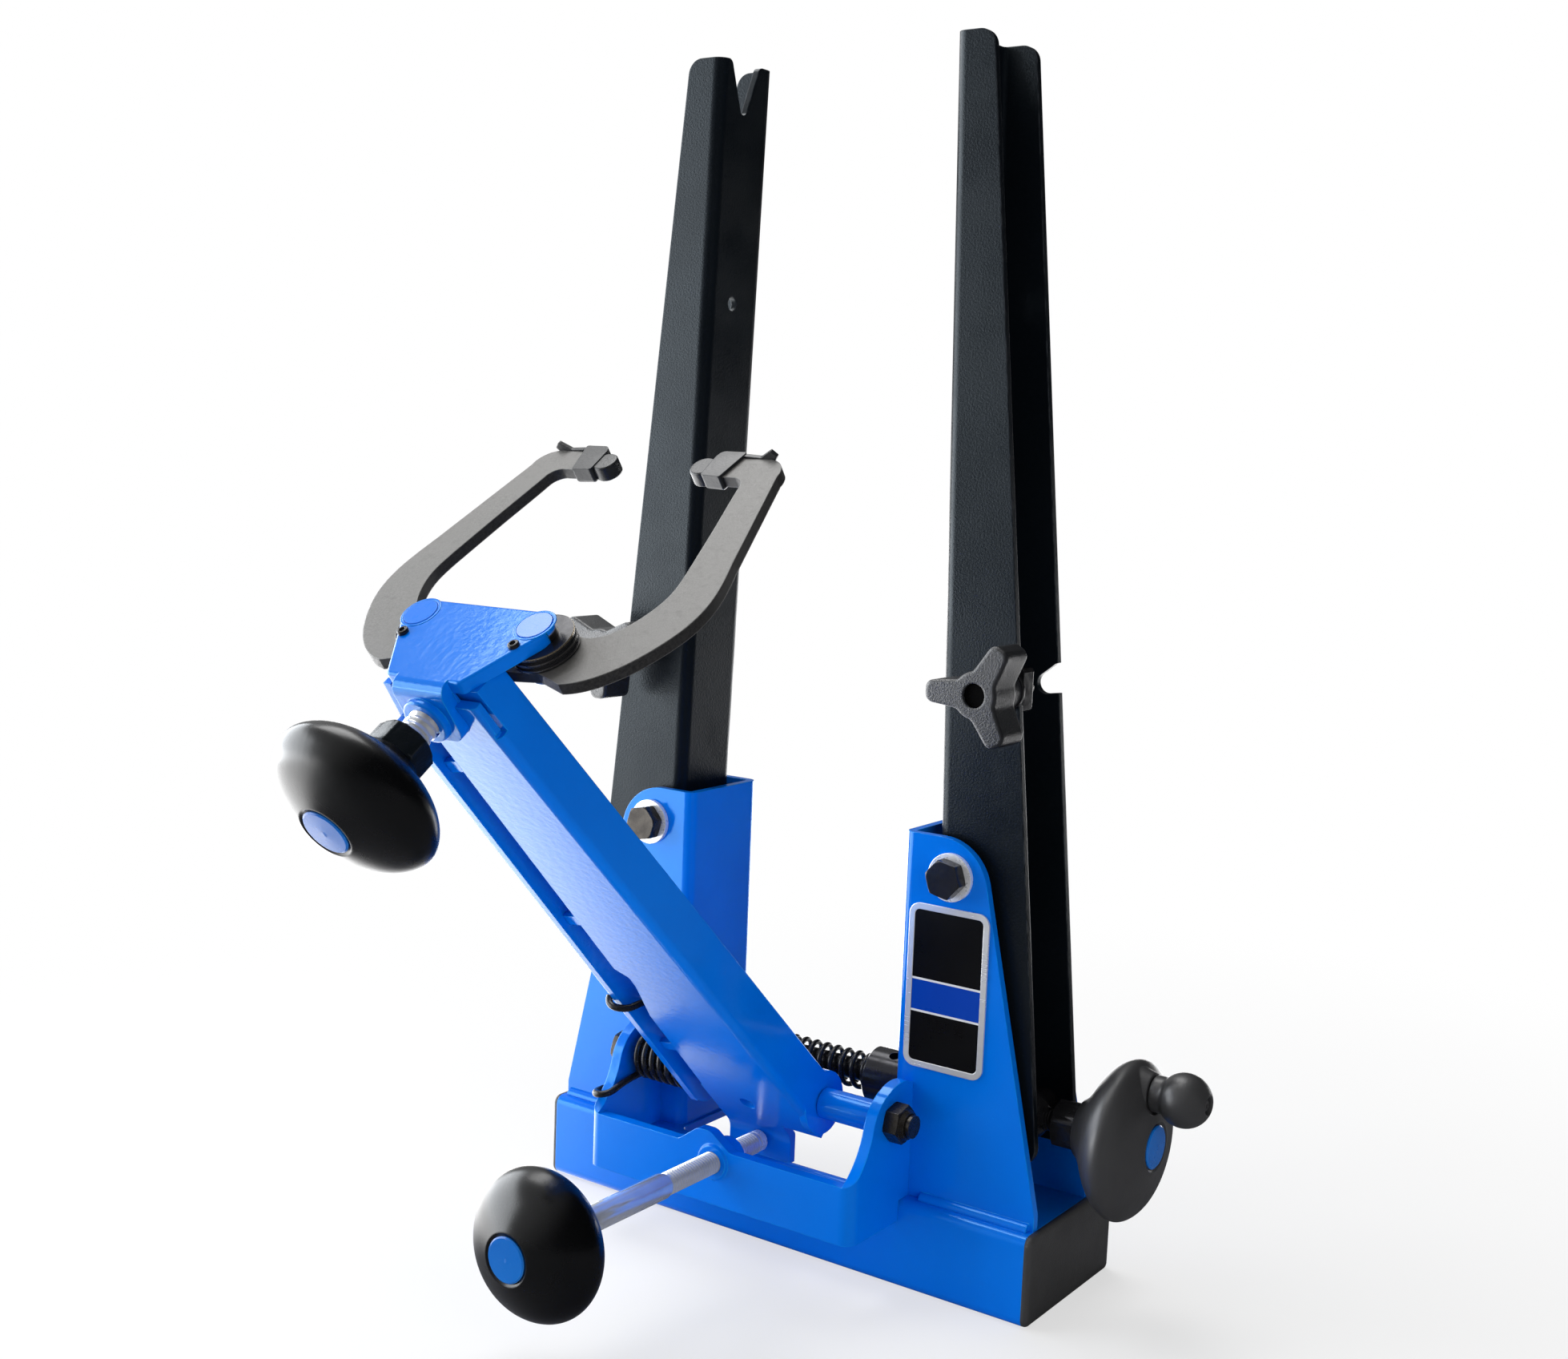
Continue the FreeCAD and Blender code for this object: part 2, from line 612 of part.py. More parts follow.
def upright():
    """Right-hand upright: channel open outboard, axle notch in the web, hook notches in the flanges."""
    depth = UPRIGHT_BACK - UPRIGHT_FRONT
    foot_in = upright_edge(UPRIGHT_BOTTOM, UPRIGHT_IN_TOP, UPRIGHT_IN_REF)
    foot_out = upright_edge(UPRIGHT_BOTTOM, UPRIGHT_OUT_TOP, UPRIGHT_OUT_REF)
    body = prism([
        (foot_in, UPRIGHT_BOTTOM, 0),
        (foot_out, UPRIGHT_BOTTOM, 8),
        (UPRIGHT_OUT_TOP, UPRIGHT_TOP, UPRIGHT_CORNER),
        (UPRIGHT_IN_TOP, UPRIGHT_TOP, 0),
    ], on_xz(UPRIGHT_FRONT), vec(0, depth, 0))
    bends = [e for e in edges_near(body, lambda p: p.x < foot_in + 0.01)
             if abs(e.Vertexes[0].Point.z - e.Vertexes[1].Point.z) > 100]
    body = body.makeFillet(UPRIGHT_BEND, bends)
    wall = UPRIGHT_WALL
    lean = (UPRIGHT_IN_TOP - foot_in) / (UPRIGHT_TOP - UPRIGHT_BOTTOM)
    low = UPRIGHT_BOTTOM - 10
    high = UPRIGHT_TOP + 10
    room = prism([
        (foot_in + wall - 10 * lean, low, 0),
        (foot_out + 30, low, 0),
        (foot_out + 30, high, 0),
        (UPRIGHT_IN_TOP + wall + 10 * lean, high, 0),
    ], on_xz(UPRIGHT_FRONT + wall), vec(0, depth - 2 * wall, 0))
    inner = [e for e in edges_near(room, lambda p: p.x < foot_in + wall + 2)
             if abs(e.Vertexes[0].Point.z - e.Vertexes[1].Point.z) > 100]
    body = body.cut(room.makeFillet(UPRIGHT_BEND - wall, inner))
    reach = AXLE_NOTCH_HALF * 1.5
    rise = 1.5 * (UPRIGHT_TOP - AXLE_NOTCH_BOTTOM)
    notch = prism([
        (AXLE_NOTCH_Y, AXLE_NOTCH_BOTTOM - 3.4, AXLE_NOTCH_ROOT_R),
        (AXLE_NOTCH_Y + reach, AXLE_NOTCH_BOTTOM + rise, 0),
        (AXLE_NOTCH_Y - reach, AXLE_NOTCH_BOTTOM + rise, 0),
    ], on_yz(UPRIGHT_IN_TOP - 5), vec(wall + 10, 0, 0))
    body = body.cut(notch)
    mouth = [e for e in edges_near(body, lambda p: p.z > UPRIGHT_TOP - 0.1 and p.x < UPRIGHT_IN_TOP + wall + 0.2
                                   and abs(abs(p.y - AXLE_NOTCH_Y) - AXLE_NOTCH_HALF) < 2.5)
             if abs(e.Vertexes[0].Point.y - e.Vertexes[1].Point.y) < 0.1]
    body = body.makeFillet(AXLE_NOTCH_MOUTH_R, mouth)
    sight_x = upright_edge(SIGHT_HOLE_Z, UPRIGHT_IN_TOP, UPRIGHT_IN_REF)
    body = body.cut(rod_x(SIGHT_HOLE_R, sight_x - 4, sight_x + wall + 4, AXLE_NOTCH_Y, SIGHT_HOLE_Z))
    hook = rod_y(HOOK_R, HOOK_X, UPRIGHT_FRONT - 1, UPRIGHT_BACK + 1, HOOK_Z)
    throat = prism([
        (HOOK_X, HOOK_Z - HOOK_R, 0),
        (HOOK_X + 5.0, HOOK_MOUTH_LOW - 0.6, 0),
        (HOOK_X + 14.0, HOOK_MOUTH_LOW - 0.6, 0),
        (HOOK_X + 14.0, HOOK_MOUTH_HIGH + 3.0, 0),
        (HOOK_X + 3.2, HOOK_MOUTH_HIGH - 2.0, 0),
        (HOOK_X - 2.6, HOOK_Z + 3.5, 0),
    ], on_xz(UPRIGHT_FRONT - 1), vec(0, depth + 2, 0))
    body = body.cut(fuse([hook, throat]))
    body = body.cut(rod_y(PIVOT_R + RUNNING_FIT, PIVOT_X, UPRIGHT_FRONT - 1, UPRIGHT_BACK + 1, PIVOT_Z))
    body = body.cut(rod_y(NUT_PIN_R + NUT_PIN_PLAY, NUT_X, UPRIGHT_FRONT - 1, UPRIGHT_BACK + 1, DRIVE_Z))
    web_x = upright_edge(DRIVE_Z, UPRIGHT_IN_TOP, UPRIGHT_IN_REF)
    slot = prism([
        (DRIVE_Y - WEB_SLOT_HALF_Y, DRIVE_Z - WEB_SLOT_HALF_Z, WEB_SLOT_HALF_Y - 0.2),
        (DRIVE_Y + WEB_SLOT_HALF_Y, DRIVE_Z - WEB_SLOT_HALF_Z, WEB_SLOT_HALF_Y - 0.2),
        (DRIVE_Y + WEB_SLOT_HALF_Y, DRIVE_Z + WEB_SLOT_HALF_Z, WEB_SLOT_HALF_Y - 0.2),
        (DRIVE_Y - WEB_SLOT_HALF_Y, DRIVE_Z + WEB_SLOT_HALF_Z, WEB_SLOT_HALF_Y - 0.2),
    ], on_yz(web_x - 5), vec(wall + 10, 0, 0))
    return body.cut(slot)


def star_knob(turn):
    """Three-lobed clamp knob with a round boss against the upright flange."""
    depth = STAR_BACK - STAR_FRONT
    lobes = [rod_y(9.5, 0, 0, depth, 0)]
    for i in range(3):
        lobe = prism([
            (-6.2, 3.0, 0),
            (6.2, 3.0, 0),
            (4.2, STAR_LOBE_R, 3.6),
            (-4.2, STAR_LOBE_R, 3.6),
        ], on_xz(0), vec(0, depth, 0))
        lobe.rotate(vec(0, 0, 0), Y_AXIS, turn + 120.0 * i)
        lobes.append(lobe)
    body = fuse(lobes)
    inner_corners = []
    for edge in body.Edges:
        points = [v.Point for v in edge.Vertexes]
        if len(points) != 2 or abs(points[0].y - points[1].y) < depth - 0.1:
            continue
        if math.hypot(points[0].x, points[0].z) < 11.5:
            inner_corners.append(edge)
    body = body.makeFillet(4.0, inner_corners)
    rims = [e for e in body.Edges if all(v.Point.y < 0.01 for v in e.Vertexes)]
    body = body.makeFillet(1.2, rims)
    boss = rod_y(STAR_BOSS_R, 0, depth - 0.5, UPRIGHT_FRONT - 1.5 - FACE_GAP - STAR_FRONT, 0)
    body = fuse([body, boss])
    body = body.cut(rod_y(STUD_R + STATIC_FIT, 0, 1.6, depth + 30, 0))
    body = body.cut(rod_y(4.9, 0, -1, 1.6, 0))
    body.translate(vec(HOOK_X, STAR_FRONT, HOOK_Z))
    return body


def star_stud():
    return rod_y(STUD_R, HOOK_X, STAR_FRONT + 2.6, UPRIGHT_FRONT + 16.0, HOOK_Z)


def star_washer():
    front = UPRIGHT_FRONT - 1.5
    ring = rod_y(STAR_BOSS_R + 0.6, HOOK_X, front, UPRIGHT_FRONT, HOOK_Z)
    return ring.cut(rod_y(STUD_R + 0.3, HOOK_X, front - 1, UPRIGHT_FRONT + 1, HOOK_Z))


def clamp_nut():
    """Square clamp block inside the front flange, threaded for the stud."""
    start = UPRIGHT_FRONT + UPRIGHT_WALL
    block = prism([
        (HOOK_X - 9, HOOK_Z - 9, 2),
        (HOOK_X + 6, HOOK_Z - 9, 2),
        (HOOK_X + 6, HOOK_Z + 9, 2),
        (HOOK_X - 9, HOOK_Z + 9, 2),
    ], on_xz(start), vec(0, 8.0, 0))
    return block.cut(rod_y(STUD_R + RUNNING_FIT, HOOK_X, start - 1, start + 9, HOOK_Z))


# ---------------------------------------------------------------- centring drive
def drive_rod():
    shaft = rod_x(DRIVE_R, DRIVE_LEFT, KNOB_BACK_X + 12.0, DRIVE_Y, DRIVE_Z)
    hub = hexagon(HUB_HEX, vec(HUB_X, DRIVE_Y, DRIVE_Z), X_AXIS, KNOB_BACK_X - HUB_X, 8.0)
    return fuse([shaft, hub])


def shaft_collar():
    end = BRACKET_INNER - 0.5
    body = rod_x(COLLAR_R, COLLAR_LEFT, end, DRIVE_Y, DRIVE_Z)
    body = body.makeChamfer(0.8, [e for e in body.Edges if len(e.Vertexes) == 1])
    body = body.cut(rod_x(DRIVE_R + FACE_GAP, COLLAR_LEFT - 1, end + 1, DRIVE_Y, DRIVE_Z))
    turned = vec(0, -math.sin(math.radians(18)), math.cos(math.radians(18)))
    start = vec(0.5 * (COLLAR_LEFT + end), DRIVE_Y, DRIVE_Z) + turned * (COLLAR_R - 3.4)
    return body.cut(Part.makeCylinder(COLLAR_SCREW_R, 10, start, turned))


def rod_spring():
    start = -BRACKET_INNER + ROD_SPRING_WIRE + 0.5
    stop = COLLAR_LEFT - ROD_SPRING_WIRE - 0.2
    turns = (stop - start) / ROD_SPRING_PITCH
    count = int(turns * 14)
    points = []
    for i in range(count + 1):
        t = i / count
        angle = 2 * math.pi * turns * t
        points.append(vec(start + (stop - start) * t,
                          DRIVE_Y + ROD_SPRING_R * math.cos(angle),
                          DRIVE_Z + ROD_SPRING_R * math.sin(angle)))
    return wire_rod(points, ROD_SPRING_WIRE)


def trunnion(x):
    """Ball nut on the drive rod with a pin at each end for the upright's flanges."""
    ball = Part.makeSphere(NUT_BALL_R, vec(x, DRIVE_Y, DRIVE_Z), Y_AXIS)
    pin = rod_y(NUT_PIN_R, x, UPRIGHT_FRONT + 0.3, UPRIGHT_BACK - 0.3, DRIVE_Z)
    collar = rod_y(NUT_PIN_R + 2.4, x, UPRIGHT_FRONT + UPRIGHT_WALL + 0.5,
                   UPRIGHT_BACK - UPRIGHT_WALL - 0.5, DRIVE_Z)
    body = fuse([ball, pin, collar])
    return body.cut(rod_x(DRIVE_R + RUNNING_FIT, x - 20, x + 20, DRIVE_Y, DRIVE_Z))


def main_knob():
    origin = vec(0, DRIVE_Y, DRIVE_Z)
    body = smooth_knob(origin, X_AXIS, KNOB_BACK_X, 12.0, MAIN_KNOB_WIDEST, KNOB_R + 1.6, MAIN_KNOB_FRONT,
                       DRIVE_R + STATIC_FIT, MAIN_KNOB_BORE)
    top = DRIVE_Z + CRANK_RADIUS
    start = MAIN_KNOB_WIDEST
    root = KNOB_R + 1.2 - CRANK_RADIUS
    boss = Part.makeCone(root, CRANK_BOSS_R, CRANK_JOINT_X - start, vec(start, DRIVE_Y, top), X_AXIS)
    seat = rod_x(CRANK_BOSS_R + 0.6, CRANK_JOINT_X, MAIN_KNOB_FRONT + 1, DRIVE_Y, top)
    body = fuse([body, boss]).cut(seat)
    return body.cut(rod_x(GRIP_PIN_R, CRANK_JOINT_X - 10, CRANK_JOINT_X + 2, DRIVE_Y, top))


def crank_grip():
    """Waisted grip with a ball end that spins on its own pin."""
    top = DRIVE_Z + CRANK_RADIUS
    origin = vec(0, DRIVE_Y, top)
    start = CRANK_JOINT_X + 0.35

    def at(a, r):
        return origin + X_AXIS * a + Z_AXIS * r

    flank = Part.BSplineCurve()
    flank.interpolate([
        at(start + 1.0, GRIP_NECK_R),
        at(start + 4.2, GRIP_NECK_R - 1.4),
        at(GRIP_BALL_X - 7.0, GRIP_NECK_R + 1.0),
        at(GRIP_BALL_X, GRIP_BALL_R),
        at(GRIP_END_X - 3.4, GRIP_BALL_R - 2.6),
        at(GRIP_END_X, GRIP_END_R),
    ])
    edges = [
        Part.makeLine(at(start, 0), at(start, GRIP_NECK_R - 0.6)),
        Part.makeLine(at(start, GRIP_NECK_R - 0.6), at(start + 1.0, GRIP_NECK_R)),
        flank.toShape(),
        Part.makeLine(at(GRIP_END_X, GRIP_END_R), at(GRIP_END_X - 1.2, GRIP_END_R - 0.7)),
        Part.makeLine(at(GRIP_END_X - 1.2, GRIP_END_R - 0.7), at(GRIP_END_X - 1.2, 3.2)),
        Part.makeLine(at(GRIP_END_X - 1.2, 3.2), at(GRIP_END_X - 2.2, 2.8)),
        Part.makeLine(at(GRIP_END_X - 2.2, 2.8), at(GRIP_END_X - 2.2, 0)),
        Part.makeLine(at(GRIP_END_X - 2.2, 0), at(start, 0)),
    ]
    body = Part.Face(Part.Wire(edges)).revolve(origin, X_AXIS, 360)
    pin = rod_x(GRIP_PIN_R - RUNNING_FIT, CRANK_JOINT_X - 8, start + 1, DRIVE_Y, top)
    return fuse([body, pin])


# ---------------------------------------------------------------- caliper arm
def arm_half(u):
    return ARM_HALF_FOOT + (ARM_HALF_HEAD - ARM_HALF_FOOT) * u / ARM_TAPER_LENGTH


def arm_cutters():
    """Solids that trim the top of the arm under the head plate."""
    above = from_head(box(-60, 60, -80, 60, -HEAD_THICK, 80))
    return above


ARM_REACH = 292.0
HEAD_GAP_U = ARM_REACH - HEAD_GAP_LENGTH
GUSSET_U = ARM_REACH - GUSSET_LENGTH
SLOT_U = ARM_REACH - SLOT_LENGTH


def arm_side(front):
    """Side outline of a flange in the arm frame, as wide as the whole arm."""
    strip = prism([
        (front, -2, 0),
        (front, ARM_REACH, 0),
        (ARM_BACK_HEAD, ARM_REACH, 0),
        (ARM_BACK_FOOT, -2, 0),
    ], on_yz(-40), vec(80, 0, 0))
    lobe = rod_x(ARM_LOBE_R, -40, 40, 0, 0)
    return strip.fuse(lobe).removeSplitter()


def arm_band(u0):
    """Right-hand side wall seen from the front: a tapering strip of wall thickness."""
    return prism([
        (arm_half(u0) - ARM_WALL, u0, 0),
        (arm_half(u0), u0, 0),
        (arm_half(ARM_REACH), ARM_REACH, 0),
        (arm_half(ARM_REACH) - ARM_WALL, ARM_REACH, 0),
    ], on_xz(-40), vec(0, 80, 0))


def arm_body():
    """Right side wall, recessed front plate with the lower tab, and the three weld tabs."""
    side = arm_side(ARM_FRONT).common(arm_band(-20))
    plate = prism([
        (-(arm_half(ARM_WEB_FOOT) - ARM_WALL - ARM_SEAM), ARM_WEB_FOOT, 5),
        (arm_half(ARM_WEB_FOOT) - 0.5, ARM_WEB_FOOT, 0),
        (arm_half(ARM_REACH) - 0.5, ARM_REACH, 0),
        (-(arm_half(ARM_REACH) - ARM_WALL - ARM_SEAM), ARM_REACH, 0),
    ], on_xz(ARM_FRONT), vec(0, ARM_WALL, 0))
    body = fuse([side, plate])
    bend = [e for e in edges_near(body, lambda p: abs(p.y - ARM_FRONT) < 0.01 and p.x > 15)
            if abs(e.Vertexes[0].Point.z - e.Vertexes[1].Point.z) > 100]
    body = body.makeFillet(ARM_BEND - 0.6, bend)
    tabs = []
    for u in WELD_TABS_U:
        tabs.append(prism([
            (-(arm_half(u) - ARM_WALL - FACE_GAP), u - 4.5, 0),
            (-(arm_half(u) - ARM_WALL - ARM_SEAM - 2.0), u - 2.0, 0),
            (-(arm_half(u) - ARM_WALL - ARM_SEAM - 2.0), u + 4.0, 0),
            (-(arm_half(u) - ARM_WALL - FACE_GAP), u + 1.5, 0),
        ], on_xz(ARM_FRONT + 0.6), vec(0, ARM_WALL - 1.2, 0)))
    inner = ARM_FRONT + HEAD_GAP_DEPTH
    gusset = box(-TONGUE_HALF, arm_half(ARM_REACH) - 1.0, inner, inner + GUSSET_WALL, GUSSET_U, ARM_REACH)
    body = from_arm(fuse([body, gusset] + tabs))
    offset = ARM_WALL * math.sqrt(2.0)
    line = ARM_PIVOT_Y + ARM_PIVOT_Z + ARM_FRONT * math.sqrt(2.0)
    up = 22.0
    tongue = prism([
        (TAB_FACE_Y, TAB_BOTTOM, 0),
        (TAB_FACE_Y + ARM_WALL, TAB_BOTTOM, 0),
        (TAB_FACE_Y + ARM_WALL, line + offset - TAB_FACE_Y - ARM_WALL, 3.0),
        (-up, line + offset + up, 0),
        (-up - 0.5 * offset, line + up + 0.5 * offset, 0),
        (TAB_FACE_Y, line - TAB_FACE_Y, 7.0),
    ], on_yz(TAB_LEFT), vec(TAB_RIGHT - TAB_LEFT, 0, 0))
    body = fuse([body, tongue])
    body = body.cut(arm_cutters())
    body = body.cut(rod_x(ARM_PIVOT_R + RUNNING_FIT, -50, 50, ARM_PIVOT_Y, ARM_PIVOT_Z))
    hole = prism([
        (-2.8, 1.0, 3.0),
        (3.8, 1.0, 3.0),
        (3.8, 8.6, 3.0),
        (-2.8, 8.6, 3.0),
    ], on_xz(ARM_FRONT - 4), vec(0, ARM_WALL + 8, 0))
    body = body.cut(from_arm(hole))
    low, high = SPRING_NOTCH_U
    notch = prism([
        (-40.0, low + 0.2, 0),
        (-17.7, low, 1.0),
        (-11.8, high - 11.5, 3.0),
        (-11.5, high - 5.0, 3.0),
        (-16.5, high, 1.0),
        (-40.0, high, 0),
    ], on_xz(ARM_FRONT - 4), vec(0, ARM_WALL + 8, 0))
    body = body.cut(from_arm(notch))
    edge = arm_half(HEAD_GAP_U)
    for side in (-1, 1):
        cuts = [
            box(TONGUE_HALF + FACE_GAP, 40, ARM_FRONT - 4, inner, HEAD_GAP_U, ARM_REACH + 8),
            box(TONGUE_HALF, 40, ARM_FRONT + ARM_WALL, inner, SLOT_U, ARM_REACH + 8),
            box(edge - 1.5, 40, ARM_FRONT - 4, inner, SLOT_U, SLOT_U + 1.6),
            box(edge - 0.7, 40, ARM_FRONT - 4, inner, SLOT_U, ARM_REACH + 8),
        ]
        for cut in cuts:
            if side < 0:
                cut = mirror_x(cut)
            body = body.cut(from_arm(cut))
    seat = tongue_outline(FACE_GAP, -80.0, TONGUE_FRONT + HEAD_THICK + FACE_GAP)
    body = body.cut(from_head(seat))
    body = body.cut(from_head(screw_bore()))
    return body.removeSplitter()


def arm_side_plate():
    """Left side wall, standing a little proud of the recessed front plate."""
    side = arm_side(ARM_FRONT_LEFT).common(mirror_x(arm_band(-20)))
    body = from_arm(side)
    body = body.cut(arm_cutters())
    body = body.cut(from_head(box(-40, 0, -60, HEAD_FRONT_S, -20, 20)))
    return body.cut(rod_x(ARM_PIVOT_R + RUNNING_FIT, -50, 0, ARM_PIVOT_Y, ARM_PIVOT_Z))


def arm_pivot_bolt():
    head = hexagon(14.3, vec(YOKE_LEFT - 6.4, ARM_PIVOT_Y, ARM_PIVOT_Z), X_AXIS, 6.4, 10.0)
    shank = rod_x(ARM_PIVOT_R, YOKE_LEFT - 1, YOKE_RIGHT + 10.5, ARM_PIVOT_Y, ARM_PIVOT_Z)
    return fuse([head, shank])


def arm_pivot_nut():
    nut = hexagon(14.3, vec(YOKE_RIGHT, ARM_PIVOT_Y, ARM_PIVOT_Z), X_AXIS, 6.6, 14.0)
    dome = Part.makeCone(6.6, 5.6, 2.2, vec(YOKE_RIGHT + 6.4, ARM_PIVOT_Y, ARM_PIVOT_Z), X_AXIS)
    body = fuse([nut, dome])
    return body.cut(rod_x(ARM_PIVOT_R + FACE_GAP, YOKE_RIGHT - 1, YOKE_RIGHT + 20, ARM_PIVOT_Y, ARM_PIVOT_Z))


def spacer_tube():
    start = ARM_HALF_FOOT + 0.4
    stop = YOKE_RIGHT - YOKE_WALL
    tube = rod_x(SPACER_R, start, stop, ARM_PIVOT_Y, ARM_PIVOT_Z)
    return tube.cut(rod_x(ARM_PIVOT_R + STATIC_FIT, start - 1, stop + 1, ARM_PIVOT_Y, ARM_PIVOT_Z))


def arm_point(x, y, u):
    """Point of the arm frame in the stand frame."""
    c = math.cos(math.radians(ARM_LEAN))
    return vec(x, ARM_PIVOT_Y + c * y - c * u, ARM_PIVOT_Z + c * y + c * u)


def arm_spring():
    """Torsion spring: coil round the pivot, one hook on the left ear, one over the left side wall."""
    wire = ARM_SPRING_WIRE
    left = YOKE_LEFT + YOKE_WALL + wire + 0.6
    right = -ARM_HALF_FOOT - wire - 0.8
    edge_y = -30.2 - wire - 0.6
    outer_x = YOKE_LEFT - wire - 0.6
    hook = [
        vec(outer_x, edge_y + 10.0, 60.0),
        vec(outer_x, edge_y + 5.0, 60.2),
        vec(outer_x + 1.8, edge_y, 60.5),
        vec(YOKE_LEFT + 2.5, edge_y - 1.8, 61.0),
        vec(left - 0.8, edge_y, 61.8),
        vec(left, edge_y + 6.0, 63.2),
        vec(left, ARM_PIVOT_Y - 5.0, ARM_PIVOT_Z - ARM_SPRING_R),
    ]
    coil = []
    first = -0.5 * math.pi
    sweep = 2 * math.pi * (ARM_SPRING_TURNS + 0.3)
    count = 15 * ARM_SPRING_TURNS
    for i in range(count + 1):
        t = i / count
        coil.append(vec(left + (right - left) * t,
                        ARM_PIVOT_Y + ARM_SPRING_R * math.cos(first + sweep * t),
                        ARM_PIVOT_Z + ARM_SPRING_R * math.sin(first + sweep * t)))
    run = SPRING_NOTCH_U[0] + 11.2
    front = ARM_FRONT_LEFT - wire - 0.5
    back = ARM_BACK_FOOT + wire + 0.7
    seam_x = -arm_half(run) + ARM_WALL + 0.5 * ARM_SEAM
    outside_x = -arm_half(run) - wire - 0.5
    leg = [
        arm_point(right - 0.3, back, 15.0),
        arm_point(right + 2.0, back + 0.8, 22.0),
        arm_point(seam_x - 2.6, back, 29.0),
        arm_point(seam_x + 0.6, ARM_BACK_FOOT - 4.0, 38.0),
        arm_point(seam_x + 1.6, -2.5, 58.0),
        arm_point(seam_x + 0.6, -9.5, run - 6.0),
        arm_point(seam_x - 1.0, front + 1.6, run - 2.6),
        arm_point(seam_x - 3.6, front - 0.2, run - 0.8),
        arm_point(outside_x + 1.6, front, run),
        arm_point(outside_x - 0.6, front + 3.4, run + 0.6),
    ]
    bends = [Part.makeSphere(wire, coil[0]), Part.makeSphere(wire, coil[-1])]
    return fuse([wire_rod(coil, wire), wire_rod(hook + coil[:1], wire), wire_rod(coil[-1:] + leg, wire)] + bends)


# ---------------------------------------------------------------- head and calipers
def tongue_outline(grow, start, stop):
    """Block with the outline of the folded tongue, running from 'start' to 'stop' along the head."""
    half = TONGUE_HALF + grow
    low = TONGUE_LOW - grow
    return prism([
        (-half, low, TONGUE_CORNER + grow),
        (half, low, TONGUE_CORNER + grow),
        (half, 2.0, 0),
        (-half, 2.0, 0),
    ], on_xz(start), vec(0, stop - start, 0))


def screw_bore():
    return Part.makeCylinder(SCREW_R + RUNNING_FIT, 34, vec(0, HEAD_BOSS_FRONT - 5, SCREW_N), Y_AXIS)


def head_plate():
    """Plate over the caliper pins, with a tongue folded down in front that takes the caliper screw."""
    body = prism([
        (-HEAD_FRONT_HALF, HEAD_FRONT_S, 2.5),
        (HEAD_FRONT_HALF, HEAD_FRONT_S, 2.5),
        (HEAD_BACK_HALF, HEAD_BACK_S, 9.5),
        (-HEAD_BACK_HALF, HEAD_BACK_S, 9.5),
    ], on_xy(-HEAD_THICK), vec(0, 0, HEAD_THICK))
    rim = [e for e in body.Edges if all(v.Point.z > -0.01 for v in e.Vertexes)
           and not all(abs(v.Point.y - HEAD_FRONT_S) < 0.01 for v in e.Vertexes)]
    body = body.makeFillet(HEAD_RIM, rim)
    back = TONGUE_FRONT + HEAD_THICK
    fold = prism([
        (HEAD_FRONT_S + 2.0, 0, 0),
        (TONGUE_FRONT, 0, TONGUE_BEND),
        (TONGUE_FRONT, TONGUE_LOW, 0),
        (back, TONGUE_LOW, 0),
        (back, -HEAD_THICK, 0),
        (HEAD_FRONT_S + 2.0, -HEAD_THICK, 0),
    ], on_yz(-TONGUE_HALF), vec(2 * TONGUE_HALF, 0, 0))
    fold = fold.common(tongue_outline(0, TONGUE_FRONT - 1, HEAD_FRONT_S + 4))
    collar = Part.makeCylinder(HEAD_BOSS_R, back - HEAD_BOSS_FRONT - 1, vec(0, HEAD_BOSS_FRONT, SCREW_N), Y_AXIS)
    collar = collar.makeFillet(0.9, [e for e in collar.Edges if len(e.Vertexes) == 1
                                     and e.Vertexes[0].Point.y < HEAD_BOSS_FRONT + 0.1])
    body = fuse([body, fold, collar]).cut(screw_bore())
    for x in (-HEAD_PIN_X, HEAD_PIN_X):
        body = body.cut(rod_z(HEAD_PIN_R + FACE_GAP, x, 0, -HEAD_THICK - 1, 1))
    for x in (-HEAD_SCREW[0], HEAD_SCREW[0]):
        body = body.cut(rod_z(1.5, x, HEAD_SCREW[1], -HEAD_THICK - 1, 1))
    return from_head(body)


def caliper_pin(x):
    """Shouldered pivot pin, riveted under the caliper."""
    floor = CALIPER_TOP - CALIPER_THICK
    shank = rod_z(HEAD_PIN_R, x, 0, floor - 2.4, 0.3)
    rivet = rod_z(HEAD_PIN_R + 3.0, x, 0, floor - 2.6, floor - 0.4)
    rivet = rivet.makeFillet(0.9, [e for e in rivet.Edges if len(e.Vertexes) == 1
                                   and e.Vertexes[0].Point.z < floor - 2.5])
    return from_head(fuse([shank, rivet]))


def spacer_stack(x):
    """Black washers between head plate and caliper."""
    low = CALIPER_TOP + 0.3
    high = -HEAD_THICK
    step = (high - low) / SPACER_RINGS
    rings = []
    for i in range(SPACER_RINGS):
        z0 = low + i * step
        rings.append(rod_z(SPACER_STACK_R - 0.7 * (i % 2), x, 0, z0, z0 + step))
    body = fuse(rings)
    return from_head(body.cut(rod_z(HEAD_PIN_R + FACE_GAP, x, 0, low - 1, high + 1)))


def head_screw(x):
    shank = rod_z(1.45, x, HEAD_SCREW[1], -HEAD_THICK + 1, 0.5)
    cap = rod_z(2.1, x, HEAD_SCREW[1], 0, 1.4)
    cap = cap.makeFillet(0.6, [e for e in cap.Edges if len(e.Vertexes) == 1 and e.Vertexes[0].Point.z > 1])
    socket = rod_z(1.1, x, HEAD_SCREW[1], 0.6, 2)
    return from_head(fuse([shank, cap]).cut(socket))


